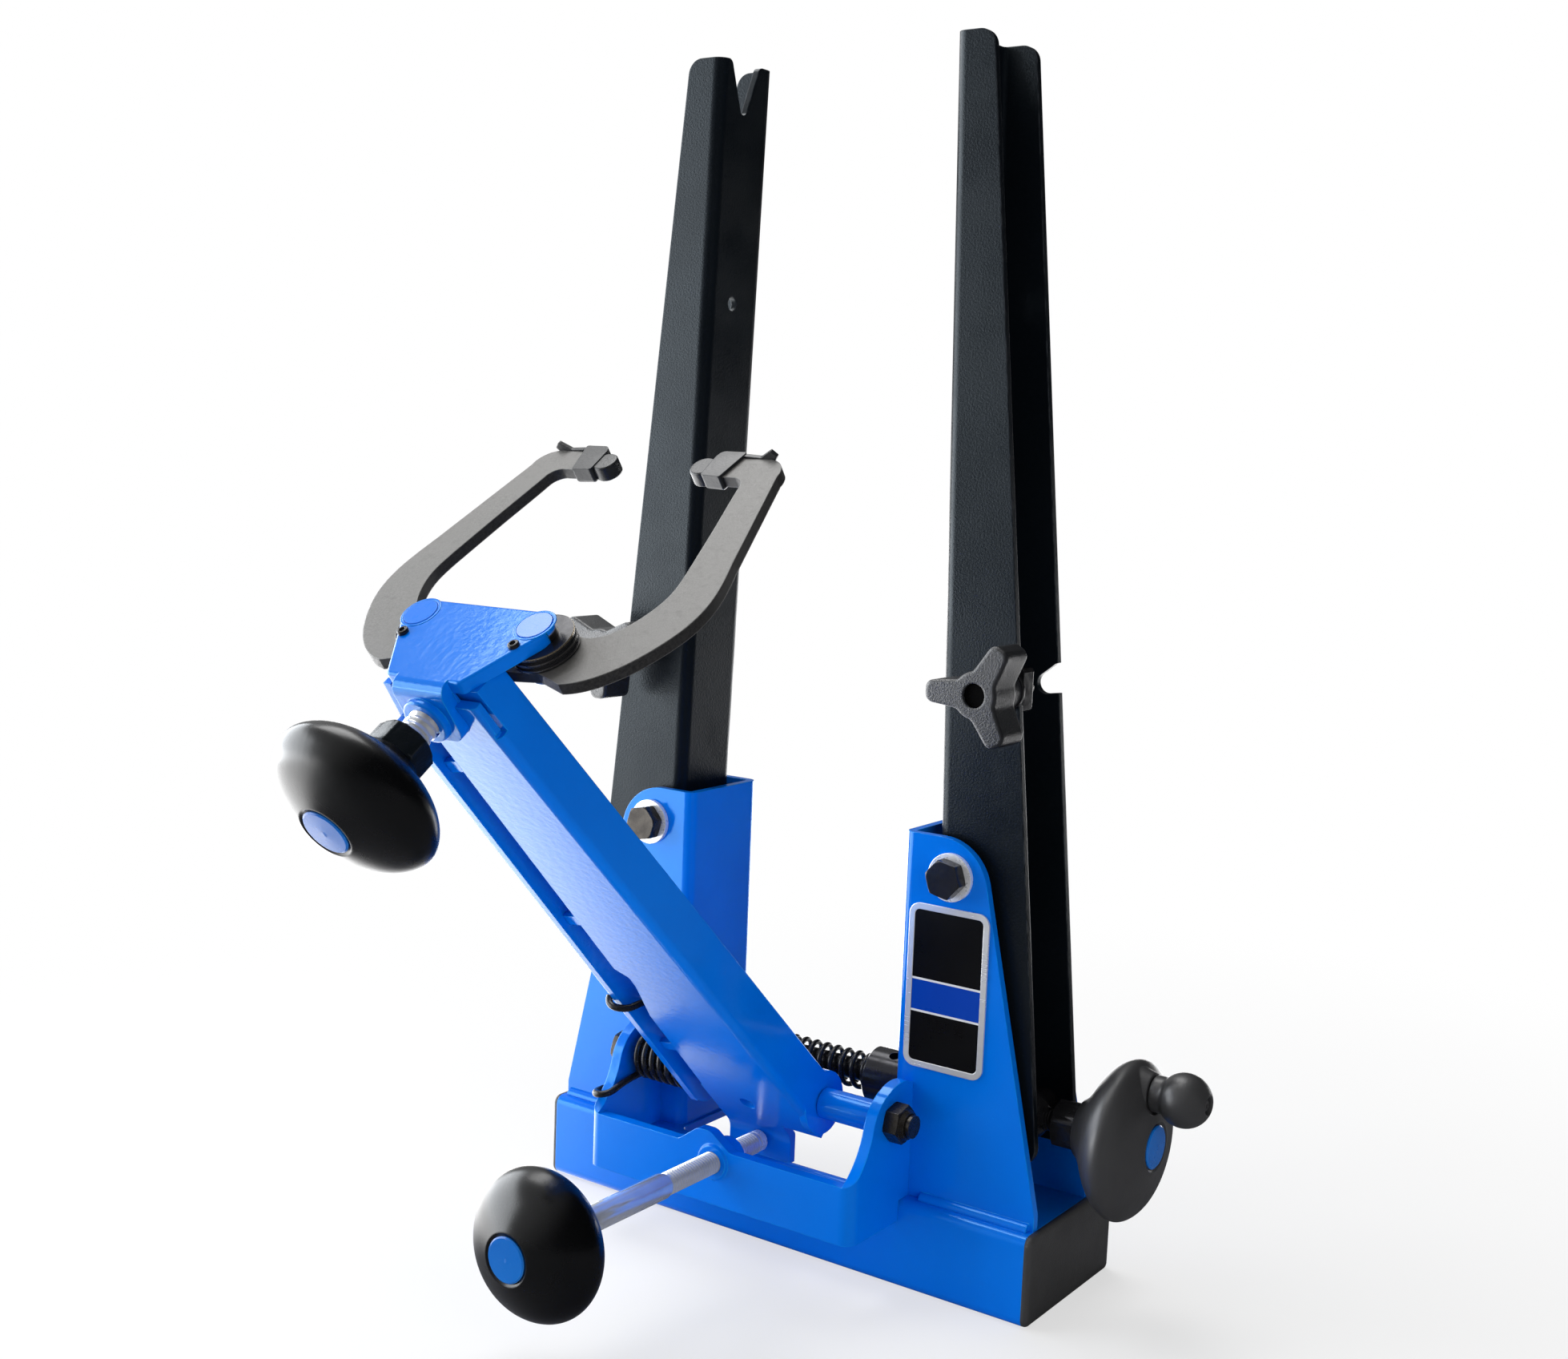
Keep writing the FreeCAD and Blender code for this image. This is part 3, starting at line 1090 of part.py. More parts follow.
def caliper():
    """Right-hand caliper: tail, root on the pin, outer sweep and turned-in finger."""
    tail_x = CONE_R + (TAIL_R + TAIL_GAP) / math.cos(math.radians(CONE_HALF_ANGLE))
    tail_x -= 0.03
    outer = [
        vec(41.8, -14.4, 0), vec(47.0, -12.9, 0), vec(53.0, -9.6, 0), vec(58.4, -5.0, 0), vec(63.2, 0.6, 0),
        vec(67.4, 7.2, 0), vec(70.9, 14.2, 0), vec(73.3, 21.5, 0), vec(74.3, 29.5, 0), vec(73.8, 37.5, 0),
        vec(72.2, 45.5, 0), vec(70.0, 54.0, 0),
    ]
    inner = [
        vec(46.6, 95.0, 0), vec(47.6, 89.0, 0), vec(49.3, 80.0, 0), vec(51.2, 70.0, 0), vec(52.9, 60.0, 0),
        vec(54.6, 50.0, 0), vec(55.9, 41.0, 0), vec(56.1, 34.0, 0), vec(54.8, 27.5, 0), vec(52.2, 21.0, 0),
        vec(48.4, 15.0, 0), vec(44.2, 11.0, 0), vec(39.0, 8.9, 0), vec(33.0, 9.5, 0),
    ]
    sweep = Part.BSplineCurve()
    sweep.interpolate(outer)
    hollow = Part.BSplineCurve()
    hollow.interpolate(inner)
    corner = 9.0
    tip_r = 1.5
    low = FINGER_LOW_S
    high = FINGER_HIGH_S
    side = vec(58.9, high - corner - 1.0, 0)
    tip = FINGER_TIP_X
    edges = [
        sweep.toShape(),
        Part.makeLine(outer[-1], side),
        Part.Arc(side, vec(56.2, high - 2.7, 0), vec(58.0 - corner, high, 0)).toShape(),
        Part.makeLine(vec(58.0 - corner, high, 0), vec(tip + tip_r, high, 0)),
        Part.Arc(vec(tip + tip_r, high, 0), vec(tip + 0.44, high - 0.44, 0), vec(tip, high - tip_r, 0)).toShape(),
        Part.makeLine(vec(tip, high - tip_r, 0), vec(tip, low + tip_r, 0)),
        Part.Arc(vec(tip, low + tip_r, 0), vec(tip + 0.44, low + 0.44, 0), vec(tip + tip_r, low, 0)).toShape(),
        Part.makeLine(vec(tip + tip_r, low, 0), vec(41.5, low, 0)),
        Part.Arc(vec(41.5, low, 0), vec(44.9, low - 1.8, 0), inner[0]).toShape(),
        hollow.toShape(),
        Part.makeLine(inner[-1], vec(HEAD_PIN_X, 9.8, 0)),
        Part.Arc(vec(HEAD_PIN_X, 9.8, 0), vec(HEAD_PIN_X - 9.0, 3.9, 0), vec(HEAD_PIN_X - 9.6, -2.0, 0)).toShape(),
        Part.makeLine(vec(HEAD_PIN_X - 9.6, -2.0, 0), vec(tail_x, TAIL_S + TAIL_R, 0)),
        Part.Arc(vec(tail_x, TAIL_S + TAIL_R, 0), vec(tail_x - TAIL_R, TAIL_S, 0),
                 vec(tail_x, TAIL_S - TAIL_R, 0)).toShape(),
        Part.makeLine(vec(tail_x, TAIL_S - TAIL_R, 0), vec(30.0, -10.6, 0)),
        Part.makeLine(vec(30.0, -10.6, 0), outer[0]),
    ]
    body = Part.Face(Part.Wire(edges)).extrude(vec(0, 0, -CALIPER_THICK))
    body.translate(vec(0, 0, CALIPER_TOP))
    bore = rod_z(HEAD_PIN_R + RUNNING_FIT, HEAD_PIN_X, 0, CALIPER_TOP - 10, CALIPER_TOP + 10)
    return body.cut(bore)


def finger_clip():
    """Plastic sleeve over the finger: block, rounded nose, and a strap with a retaining hook."""
    low = CALIPER_TOP - CALIPER_THICK - 1.3
    high = CALIPER_TOP + 1.2
    front = FINGER_LOW_S - 1.4
    back = FINGER_HIGH_S + 2.4
    block = prism([
        (FINGER_TIP_X - 1.6, front + 0.6, 1.2),
        (35.4, front, 0.8),
        (38.6, back, 0.8),
        (FINGER_TIP_X - 0.6, back, 2.6),
        (FINGER_TIP_X - 1.6, back - 3.4, 1.6),
    ], on_xy(low), vec(0, 0, high - low))
    edge = [e for e in block.Edges if all(v.Point.z < low + 0.01 and v.Point.y < front + 1.0 for v in e.Vertexes)]
    block = block.makeFillet(CLIP_EDGE, edge)
    middle = 0.5 * (front + FINGER_HIGH_S)
    lobe = rod_z(CLIP_LOBE_R, FINGER_END_X + CLIP_LOBE_R, middle, low + 0.4, high - 0.4)
    lobe = lobe.makeFillet(0.8, [e for e in lobe.Edges if len(e.Vertexes) == 1])
    neck = prism([
        (FINGER_END_X + CLIP_LOBE_R, middle - 2.4, 0),
        (FINGER_TIP_X, middle - 2.4, 0),
        (FINGER_TIP_X, middle + CLIP_LOBE_R - 0.9, 0),
        (FINGER_END_X + CLIP_LOBE_R, middle + CLIP_LOBE_R - 0.9, 0),
    ], on_xy(low + 0.9), vec(0, 0, high - low - 1.5))
    body = fuse([block, lobe, neck])
    play = CLIP_PLAY
    pocket = prism([
        (FINGER_TIP_X - play, FINGER_LOW_S - play, 1.4),
        (60.0, FINGER_LOW_S - play, 0),
        (60.0, FINGER_HIGH_S + play, 0),
        (FINGER_TIP_X - play, FINGER_HIGH_S + play, 1.4),
    ], on_xy(CALIPER_TOP - CALIPER_THICK - play), vec(0, 0, CALIPER_THICK + 2 * play))
    body = body.cut(pocket)
    strip_s = FINGER_HIGH_S + play
    strap = prism([
        (36.6, CALIPER_TOP - CALIPER_THICK, 0),
        (49.0, CALIPER_TOP - CALIPER_THICK, 0.5),
        (53.2, CALIPER_TOP + 1.2, 0.5),
        (51.0, CALIPER_TOP + 3.6, 0.5),
        (45.6, CALIPER_TOP + 0.4, 1.5),
        (36.6, CALIPER_TOP + 1.0, 0),
    ], on_xz(strip_s), vec(0, 1.6, 0))
    return fuse([body, strap])


def caliper_nose():
    """Cone that spreads the caliper tails; it slides but does not turn."""
    slope = math.tan(math.radians(CONE_HALF_ANGLE))
    origin = vec(0, 0, SCREW_N)
    tip = 1.0
    back = -20.0
    body = revolve([
        (back, 0),
        (back, CONE_R + (TAIL_S - back) * slope),
        (tip - 1.0, CONE_R - (tip - 1.0 - TAIL_S) * slope),
        (tip, CONE_R - (tip - TAIL_S) * slope - 0.9),
        (tip, 0),
    ], origin, Y_AXIS)
    pin = Part.makeCylinder(NOSE_PIN_R, 8.0, vec(0, back - 8.0, SCREW_N), Y_AXIS)
    return from_head(fuse([body, pin]))


def caliper_screw():
    """Threaded screw with the hexagonal collar behind the knob."""
    inner = -20.3
    outer = -66.0
    shaft = Part.makeCylinder(SCREW_R, inner - outer, vec(0, outer, SCREW_N), Y_AXIS)
    collar = hexagon(19.0, vec(0, -56.8, SCREW_N), Y_AXIS, 9.2, 14.0)
    body = fuse([shaft, collar])
    bore = Part.makeCylinder(NOSE_PIN_R + RUNNING_FIT, 10.0, vec(0, inner - 9.0, SCREW_N), Y_AXIS)
    return from_head(body.cut(bore))


def caliper_knob():
    body = smooth_knob(vec(0, 0, SCREW_N), vec(0, -1, 0), CALIPER_KNOB_BACK, 10.6, CALIPER_KNOB_WIDEST, KNOB_R,
                       CALIPER_KNOB_FRONT, SCREW_R + STATIC_FIT, CALIPER_KNOB_BORE)
    return from_head(body)


def caliper_inset():
    return from_head(knob_inset(vec(0, 0, SCREW_N), vec(0, -1, 0), CALIPER_KNOB_FRONT))


# ---------------------------------------------------------------- lower adjuster
def lower_nose():
    """Domed swivel end that presses on the arm tab."""
    end = TAB_FACE_Y - NOSE_GAP
    start = end - 4.6
    ball = Part.makeSphere(NOSE_DOME_R, vec(ADJUST_X, end - NOSE_DOME_R, ADJUST_Z))
    body = rod_y(LOWER_SCREW_R - 0.2, ADJUST_X, start, end + 0.1, ADJUST_Z).common(ball)
    pin = rod_y(NOSE_PIN_R, ADJUST_X, start - 7.0, start + 0.5, ADJUST_Z)
    return fuse([body, pin])


def lower_screw():
    inner = TAB_FACE_Y - NOSE_GAP - 4.6 - 0.3
    thread = rod_y(LOWER_SCREW_R, ADJUST_X, -70.0, inner, ADJUST_Z)
    shank = rod_y(LOWER_SHANK_R, ADJUST_X, -138.0, -69.0, ADJUST_Z)
    shank = shank.makeChamfer(0.5, [e for e in shank.Edges if len(e.Vertexes) == 1 and e.Vertexes[0].Point.y > -70])
    body = fuse([thread, shank])
    return body.cut(rod_y(NOSE_PIN_R + RUNNING_FIT, ADJUST_X, inner - 8.0, inner + 1, ADJUST_Z))


def lower_knob():
    return smooth_knob(vec(ADJUST_X, 0, ADJUST_Z), vec(0, -1, 0), LOWER_KNOB_BACK, 13.0, LOWER_KNOB_WIDEST,
                       KNOB_R - 1.4, LOWER_KNOB_FRONT, LOWER_SHANK_R + STATIC_FIT, LOWER_KNOB_BORE)


def lower_inset():
    return knob_inset(vec(ADJUST_X, 0, ADJUST_Z), vec(0, -1, 0), LOWER_KNOB_FRONT)


# ---------------------------------------------------------------- assembly
def both(name, shape, parts):
    parts[name + "_right"] = shape
    parts[name + "_left"] = mirror_x(shape)


def build():
    parts = {}
    parts["base_channel"] = base_channel()
    both("end_cap", end_cap(), parts)
    both("bracket", bracket(), parts)
    parts["yoke"] = yoke()
    parts["label_plate"] = label_plate()
    both("pivot_bolt", pivot_bolt(), parts)
    both("pivot_nut", pivot_nut(), parts)
    front = BRACKET_FRONT
    both("front_washer", washer_y(PIVOT_WASHER_R, front - PIVOT_WASHER_T, front), parts)
    both("rear_washer", washer_y(PIVOT_WASHER_R, BRACKET_BACK, BRACKET_BACK + PIVOT_WASHER_T), parts)
    both("friction_washer", washer_y(8.5, front + BRACKET_WALL, UPRIGHT_FRONT - FACE_GAP), parts)
    parts["arm_pivot_bolt"] = arm_pivot_bolt()
    parts["arm_pivot_nut"] = arm_pivot_nut()
    parts["spacer_tube"] = spacer_tube()
    parts["arm_spring"] = arm_spring()

    both("upright", upright(), parts)
    parts["star_knob_right"] = star_knob(-90.0)
    parts["star_knob_left"] = mirror_x(star_knob(-60.0))
    both("star_stud", star_stud(), parts)
    both("star_washer", star_washer(), parts)
    both("clamp_nut", clamp_nut(), parts)

    parts["drive_rod"] = drive_rod()
    parts["shaft_collar"] = shaft_collar()
    parts["rod_spring"] = rod_spring()
    parts["trunnion_right"] = trunnion(NUT_X)
    parts["trunnion_left"] = trunnion(-NUT_X)
    parts["main_knob"] = main_knob()
    parts["main_inset"] = knob_inset(vec(0, DRIVE_Y, DRIVE_Z), X_AXIS, MAIN_KNOB_FRONT)
    parts["crank_grip"] = crank_grip()

    parts["arm_body"] = arm_body()
    parts["arm_side_plate"] = arm_side_plate()
    parts["head_plate"] = head_plate()
    both("caliper_pin", caliper_pin(HEAD_PIN_X), parts)
    both("spacer_stack", spacer_stack(HEAD_PIN_X), parts)
    both("head_screw", head_screw(HEAD_SCREW[0]), parts)
    both("caliper", from_head(caliper()), parts)
    both("finger_clip", from_head(finger_clip()), parts)
    parts["caliper_nose"] = caliper_nose()
    parts["caliper_screw"] = caliper_screw()
    parts["caliper_knob"] = caliper_knob()
    parts["caliper_inset"] = caliper_inset()

    parts["lower_nose"] = lower_nose()
    parts["lower_screw"] = lower_screw()
    parts["lower_knob"] = lower_knob()
    parts["lower_inset"] = lower_inset()
    return parts


def main():
    os.makedirs("parts", exist_ok=True)
    for name, shape in build().items():
        solid = shape
        if len(shape.Solids) == 1:
            solid = shape.Solids[0]
        solid.translate(vec(0, -0.5 * BASE_DEPTH, 0))
        solid.exportStep(os.path.join("parts", name + ".step"))
        box_of = solid.BoundBox
        print("%-22s solids %d valid %s  x %.1f..%.1f y %.1f..%.1f z %.1f..%.1f" % (
            name, len(shape.Solids), solid.isValid(), box_of.XMin, box_of.XMax, box_of.YMin, box_of.YMax,
            box_of.ZMin, box_of.ZMax))


main()
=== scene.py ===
"""Looks of the bicycle wheel truing stand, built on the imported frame. Metres, +Z up."""
import math

import bpy
from mathutils import Matrix, Vector


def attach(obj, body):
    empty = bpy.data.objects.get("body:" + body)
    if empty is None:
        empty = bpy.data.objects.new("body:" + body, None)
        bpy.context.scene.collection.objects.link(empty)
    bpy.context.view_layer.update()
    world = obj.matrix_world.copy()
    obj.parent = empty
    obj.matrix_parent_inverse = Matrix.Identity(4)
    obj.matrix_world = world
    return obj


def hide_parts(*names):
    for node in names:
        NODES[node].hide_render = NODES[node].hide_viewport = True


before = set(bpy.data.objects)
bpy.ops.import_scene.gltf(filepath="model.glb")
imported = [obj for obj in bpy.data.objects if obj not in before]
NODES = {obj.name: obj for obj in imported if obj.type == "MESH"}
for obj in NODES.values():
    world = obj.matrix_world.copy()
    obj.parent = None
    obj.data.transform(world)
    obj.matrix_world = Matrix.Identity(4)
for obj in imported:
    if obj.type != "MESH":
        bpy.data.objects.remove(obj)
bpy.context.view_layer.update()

WHITE = (1.0, 1.0, 1.0)
SIDES = ((1, "right"), (-1, "left"))

# ------------------------------------------------------------------ places on the stand, in mm
MM = 0.001
SHIFT_Y = -38.1                                  # from the part's own zero to the frame's
DRIVE_AXIS = Vector((0, 33.35 + SHIFT_Y, 76.1))  # rod that moves the uprights
GRIP_AXIS = Vector((0, 33.35 + SHIFT_Y, 98.0))   # pin of the crank grip
LOWER_AXIS = Vector((-4.0, SHIFT_Y, 47.8))       # lower adjuster screw
STAR_FACE = Vector((95.6, -10.9 + SHIFT_Y, 254.3))  # recess floor of the right clamp knob

TILT = math.radians(36.0)
HEAD = Vector((0, -187.2 + SHIFT_Y, 285.5))      # middle of the head plate's top
ALONG = Vector((0, math.cos(TILT), math.sin(TILT)))
UP = Vector((0, -math.sin(TILT), math.cos(TILT)))
PIN_X = 26.6
CALIPER_SCREW_DEPTH = 13.5


def head_point(x, s, n):
    """Point across, along and above the head plate."""
    return HEAD + Vector((x, 0, 0)) + ALONG * s + UP * n


# ------------------------------------------------------------------ camera
PHOTO_WIDTH = 1958.0
FOCAL_PIXELS = 2340.8
SENSOR_WIDTH = 36.0
CAMERA_PLACE = (0.4474, -0.6834, 0.3472)
CAMERA_AZIMUTH = math.radians(34.90)
CAMERA_DOWN = math.radians(7.07)
CAMERA_ROLL = math.radians(2.22)


def make_camera():
    """Camera at the photograph's place, turn, roll and focal length."""
    level = math.cos(CAMERA_DOWN)
    forward = Vector((-math.sin(CAMERA_AZIMUTH) * level, math.cos(CAMERA_AZIMUTH) * level, -math.sin(CAMERA_DOWN)))
    right = forward.cross(Vector((0, 0, 1))).normalized()
    up = right.cross(forward)
    rolled_right = math.cos(CAMERA_ROLL) * right + math.sin(CAMERA_ROLL) * up
    rolled_up = -math.sin(CAMERA_ROLL) * right + math.cos(CAMERA_ROLL) * up
    data = bpy.data.cameras.new("camera")
    data.sensor_width = SENSOR_WIDTH
    data.sensor_fit = "HORIZONTAL"
    data.lens = FOCAL_PIXELS / PHOTO_WIDTH * SENSOR_WIDTH
    data.clip_end = 20.0
    camera = bpy.data.objects.new("camera", data)
    turn = Matrix((rolled_right, rolled_up, -forward)).transposed().to_4x4()
    camera.matrix_world = Matrix.Translation(CAMERA_PLACE) @ turn
    bpy.context.scene.collection.objects.link(camera)
    bpy.context.scene.camera = camera


make_camera()


# ------------------------------------------------------------------ node helpers
class Nodes:
    """Strings shader nodes together in one node tree."""

    def __init__(self, tree):
        self.tree = tree

    def node(self, kind, **settings):
        made = self.tree.nodes.new(kind)
        for key, value in settings.items():
            setattr(made, key, value)
        return made

    def link(self, source, target):
        self.tree.links.new(source, target)

    def put(self, socket, value):
        """Link a socket to this one, or set this one's own value."""
        if isinstance(value, bpy.types.NodeSocket):
            self.link(value, socket)
        elif isinstance(value, tuple) and len(value) == 3 and socket.type == "RGBA":
            socket.default_value = (*value, 1.0)
        else:
            socket.default_value = value

    def remap(self, value, low, high, to_low, to_high):
        """Smooth step from one range to another."""
        made = self.node("ShaderNodeMapRange", interpolation_type="SMOOTHSTEP")
        self.link(value, made.inputs["Value"])
        made.inputs["From Min"].default_value = low
        made.inputs["From Max"].default_value = high
        made.inputs["To Min"].default_value = to_low
        made.inputs["To Max"].default_value = to_high
        return made.outputs["Result"]

    def math(self, operation, a, b=0.0):
        made = self.node("ShaderNodeMath", operation=operation)
        self.put(made.inputs[0], a)
        self.put(made.inputs[1], b)
        return made.outputs["Value"]

    def vector_math(self, operation, a, b):
        made = self.node("ShaderNodeVectorMath", operation=operation)
        self.put(made.inputs[0], a)
        self.put(made.inputs[1], b)
        return made.outputs["Value"]

    def mix(self, factor, a, b):
        made = self.node("ShaderNodeMix", data_type="RGBA")
        self.put(made.inputs["Factor"], factor)
        self.put(made.inputs[6], a)
        self.put(made.inputs[7], b)
        return made.outputs[2]


MATERIALS = {}


class Shader(Nodes):
    """One material, kept in MATERIALS, with its Principled BSDF and object coordinates."""

    def __init__(self, name):
        self.material = MATERIALS[name] = bpy.data.materials.new(name)
        self.material.use_nodes = True
        super().__init__(self.material.node_tree)
        self.bsdf = self.tree.nodes["Principled BSDF"]
        self.coords = self.node("ShaderNodeTexCoord").outputs["Object"]

    def set(self, **values):
        """Fill the BSDF's inputs; an underscore in a keyword stands for a space."""
        for key, value in values.items():
            self.put(self.bsdf.inputs[key.replace("_", " ")], value)

    def noise(self, scale, detail=3.0, rough=0.5, distortion=0.0, coords=None):
        made = self.node("ShaderNodeTexNoise")
        self.link(coords or self.coords, made.inputs["Vector"])
        made.inputs["Scale"].default_value = scale
        made.inputs["Detail"].default_value = detail
        made.inputs["Roughness"].default_value = rough
        made.inputs["Distortion"].default_value = distortion
        return made.outputs["Fac"]

    def stretched(self, scale):
        made = self.node("ShaderNodeMapping")
        made.inputs["Scale"].default_value = scale
        self.link(self.coords, made.inputs["Vector"])
        return made.outputs["Vector"]

    def rounded(self, radius):
        """Normal softened over sharp edges, and a mask that is 1 on those edges."""
        bevel = self.node("ShaderNodeBevel", samples=6)
        bevel.inputs["Radius"].default_value = radius
        flat = self.node("ShaderNodeNewGeometry").outputs["Normal"]
        mask = self.remap(self.vector_math("DOT_PRODUCT", bevel.outputs["Normal"], flat), 0.995, 0.93, 0.0, 1.0)
        return bevel.outputs["Normal"], mask

    def bump(self, height, strength, distance, normal=None):
        made = self.node("ShaderNodeBump")
        made.inputs["Strength"].default_value = strength
        made.inputs["Distance"].default_value = distance
        self.link(height, made.inputs["Height"])
        if normal is not None:
            self.link(normal, made.inputs["Normal"])
        return made.outputs["Normal"]


# ------------------------------------------------------------------ kinds of material
def painted(name, colour, deep, edge_wear_and_highlight, rough, peel, peel_scale, radius=0.0006, coat=0.0, specular=0.5,
            tint=WHITE):
    """Powder coat: orange-peel bump, slow colour drift, and paler edges, partly thinner paint and polish and partly a
    painted highlight along them.
    """
    s = Shader(name)
    drift = s.noise(9.0, 4.0, 0.55)
    specks = s.noise(900.0, 2.0, 0.6)
    base = s.mix(s.remap(drift, 0.35, 0.65, 0.0, 1.0), deep, colour)
    normal, edges = s.rounded(radius)
    scuffs = s.remap(s.noise(70.0, 5.0, 0.7), 0.52, 0.70, 0.0, 0.5)
    wear = s.math("ADD", s.remap(s.noise(160.0, 3.0), 0.4, 0.62, 0.1, 0.75), scuffs)
    # edges painted paler: partly wear, partly a painted highlight along them
    base = s.mix(s.math("MULTIPLY", edges, wear), base, edge_wear_and_highlight)
    base = s.mix(s.remap(specks, 0.66, 0.74, 0.0, 0.12), base, edge_wear_and_highlight)
    roughness = s.math("ADD", s.remap(s.noise(26.0, 5.0, 0.6), 0.3, 0.7, rough * 0.8, rough * 1.25),
                       s.math("MULTIPLY", specks, 0.03))
    s.set(Base_Color=base, Roughness=roughness,
          Normal=s.bump(s.noise(peel_scale, 2.0, 0.5), peel, 0.0004, normal),
          IOR=1.5, Specular_IOR_Level=specular, Specular_Tint=tint,
          Coat_Weight=coat, Coat_Roughness=0.05, Coat_IOR=1.42)


def metal(name, colour, dark, rough, grain=(400.0, 400.0, 400.0), radius=0.0004, metallic=1.0, bump=0.08):
    """Plated or oxidised steel: fine grain, darker stains, and brighter edges, partly rubbed and partly a painted
    highlight.
    """
    s = Shader(name)
    stains = s.remap(s.noise(38.0, 5.0, 0.62), 0.38, 0.66, 0.0, 1.0)
    base = s.mix(stains, colour, dark)
    normal, edges = s.rounded(radius)
    # edges painted brighter: partly rubbing, partly a painted highlight
    worn_highlit_edge = tuple(min(1.0, c * 1.35 + 0.05) for c in colour)
    base = s.mix(s.math("MULTIPLY", edges, 0.55), base, worn_highlit_edge)
    lines = s.noise(1.0, 4.0, 0.6, coords=s.stretched(grain))
    roughness = s.math("ADD", s.remap(lines, 0.25, 0.75, rough * 0.75, rough * 1.3),
                       s.math("MULTIPLY", stains, 0.06))
    s.set(Base_Color=base, Metallic=metallic, Roughness=roughness, Normal=s.bump(lines, bump, 0.0002, normal))


def moulded(name, colour, pale, rough, grain, grain_scale, radius=0.0006, specular=0.5):
    """Moulded plastic: fine spark-eroded grain, faint flow marks, dust, and paler edges, partly rubbed and partly a
    painted highlight.
    """
    s = Shader(name)
    flow = s.noise(14.0, 3.0, 0.5, 0.6)
    normal, edges = s.rounded(radius)
    base = s.mix(s.remap(flow, 0.3, 0.7, 0.0, 0.35), colour, pale)
    # edges painted paler: partly rubbing, partly a painted highlight
    base = s.mix(s.math("MULTIPLY", edges, 0.5), base, pale)
    dust = s.remap(s.noise(520.0, 2.0, 0.6), 0.64, 0.76, 0.0, 0.25)
    base = s.mix(dust, base, pale)
    roughness = s.math("ADD", s.remap(s.noise(45.0, 4.0), 0.3, 0.7, rough * 0.85, rough * 1.2),
                       s.math("MULTIPLY", dust, 0.2))
    s.set(Base_Color=base, Roughness=roughness, Specular_IOR_Level=specular,
          Normal=s.bump(s.noise(grain_scale, 3.0), grain, 0.0003, normal))


def caliper_steel():
    """Blanked steel plate: speckled faces painted pale where they face along the plate's normal, as a painted
    highlight, sides painted dark as painted shade, and paler rounded edges, partly wear and partly a painted
    highlight.
    """
    s = Shader("caliper_steel")
    facing = s.vector_math("DOT_PRODUCT", s.node("ShaderNodeTexCoord").outputs["Normal"], UP)
    # painted highlight and shade: faces along the plate's normal get the pale colour, the sides the dark one
    flat = s.remap(s.math("ABSOLUTE", facing), 0.45, 0.85, 0.0, 1.0)
    fine = s.remap(s.noise(1300.0, 3.0, 0.7), 0.36, 0.64, 0.0, 1.0)
    coarse = s.remap(s.noise(320.0, 4.0, 0.7), 0.50, 0.72, 0.0, 0.55)
    cloud = s.remap(s.noise(24.0, 3.0, 0.5), 0.35, 0.65, 0.0, 0.5)
    face = s.mix(fine, (0.112, 0.109, 0.103), (0.178, 0.174, 0.167))
    face = s.mix(coarse, face, (0.082, 0.079, 0.075))
    face = s.mix(cloud, face, (0.146, 0.143, 0.136))
    edge = s.mix(fine, (0.012, 0.012, 0.013), (0.034, 0.033, 0.033))
    base = s.mix(flat, edge, face)
    normal, edges = s.rounded(0.0007)
    # rounded edges painted paler: partly wear, partly a painted highlight
    base = s.mix(s.math("MULTIPLY", edges, 0.35), base, (0.36, 0.36, 0.35))
    s.set(Base_Color=base, Metallic=0.15, Roughness=s.remap(fine, 0.0, 1.0, 0.44, 0.60),
          Normal=s.bump(s.noise(900.0, 4.0, 0.65), 0.22, 0.0002, normal))


def caliper_pin(blue, plating, worn_highlit_paint):
    """Pivot pin: its flush head is painted with the plate, the rest is plated."""
    s = Shader("caliper_pin")
    height = s.vector_math("DOT_PRODUCT", s.coords, UP)
    plane = HEAD.dot(UP) * MM
    top = s.remap(height, plane - 0.003, plane - 0.002, 0.0, 1.0)
    normal, edges = s.rounded(0.0005)
    # rounded edges of the painted head painted paler: partly rubbed paint, partly a painted highlight
    paint = s.mix(s.math("MULTIPLY", edges, 0.5), blue, worn_highlit_paint)
    peel = s.noise(380.0, 2.0)
    s.set(Base_Color=s.mix(top, plating, paint), Metallic=s.math("SUBTRACT", 1.0, top),
          Roughness=s.remap(peel, 0.3, 0.7, 0.26, 0.36), Normal=s.bump(peel, 0.16, 0.0004, normal),
          Specular_IOR_Level=0.05, Coat_Weight=1.0, Coat_IOR=1.38, Coat_Roughness=0.05)


# ------------------------------------------------------------------ materials
BLUE = (0.0, 0.185, 0.840)
BLUE_DEEP = (0.0, 0.160, 0.765)
# paler blue for specks and worn edges, and for the painted highlight along edges
BLUE_EDGE = (0.005, 0.340, 0.920)


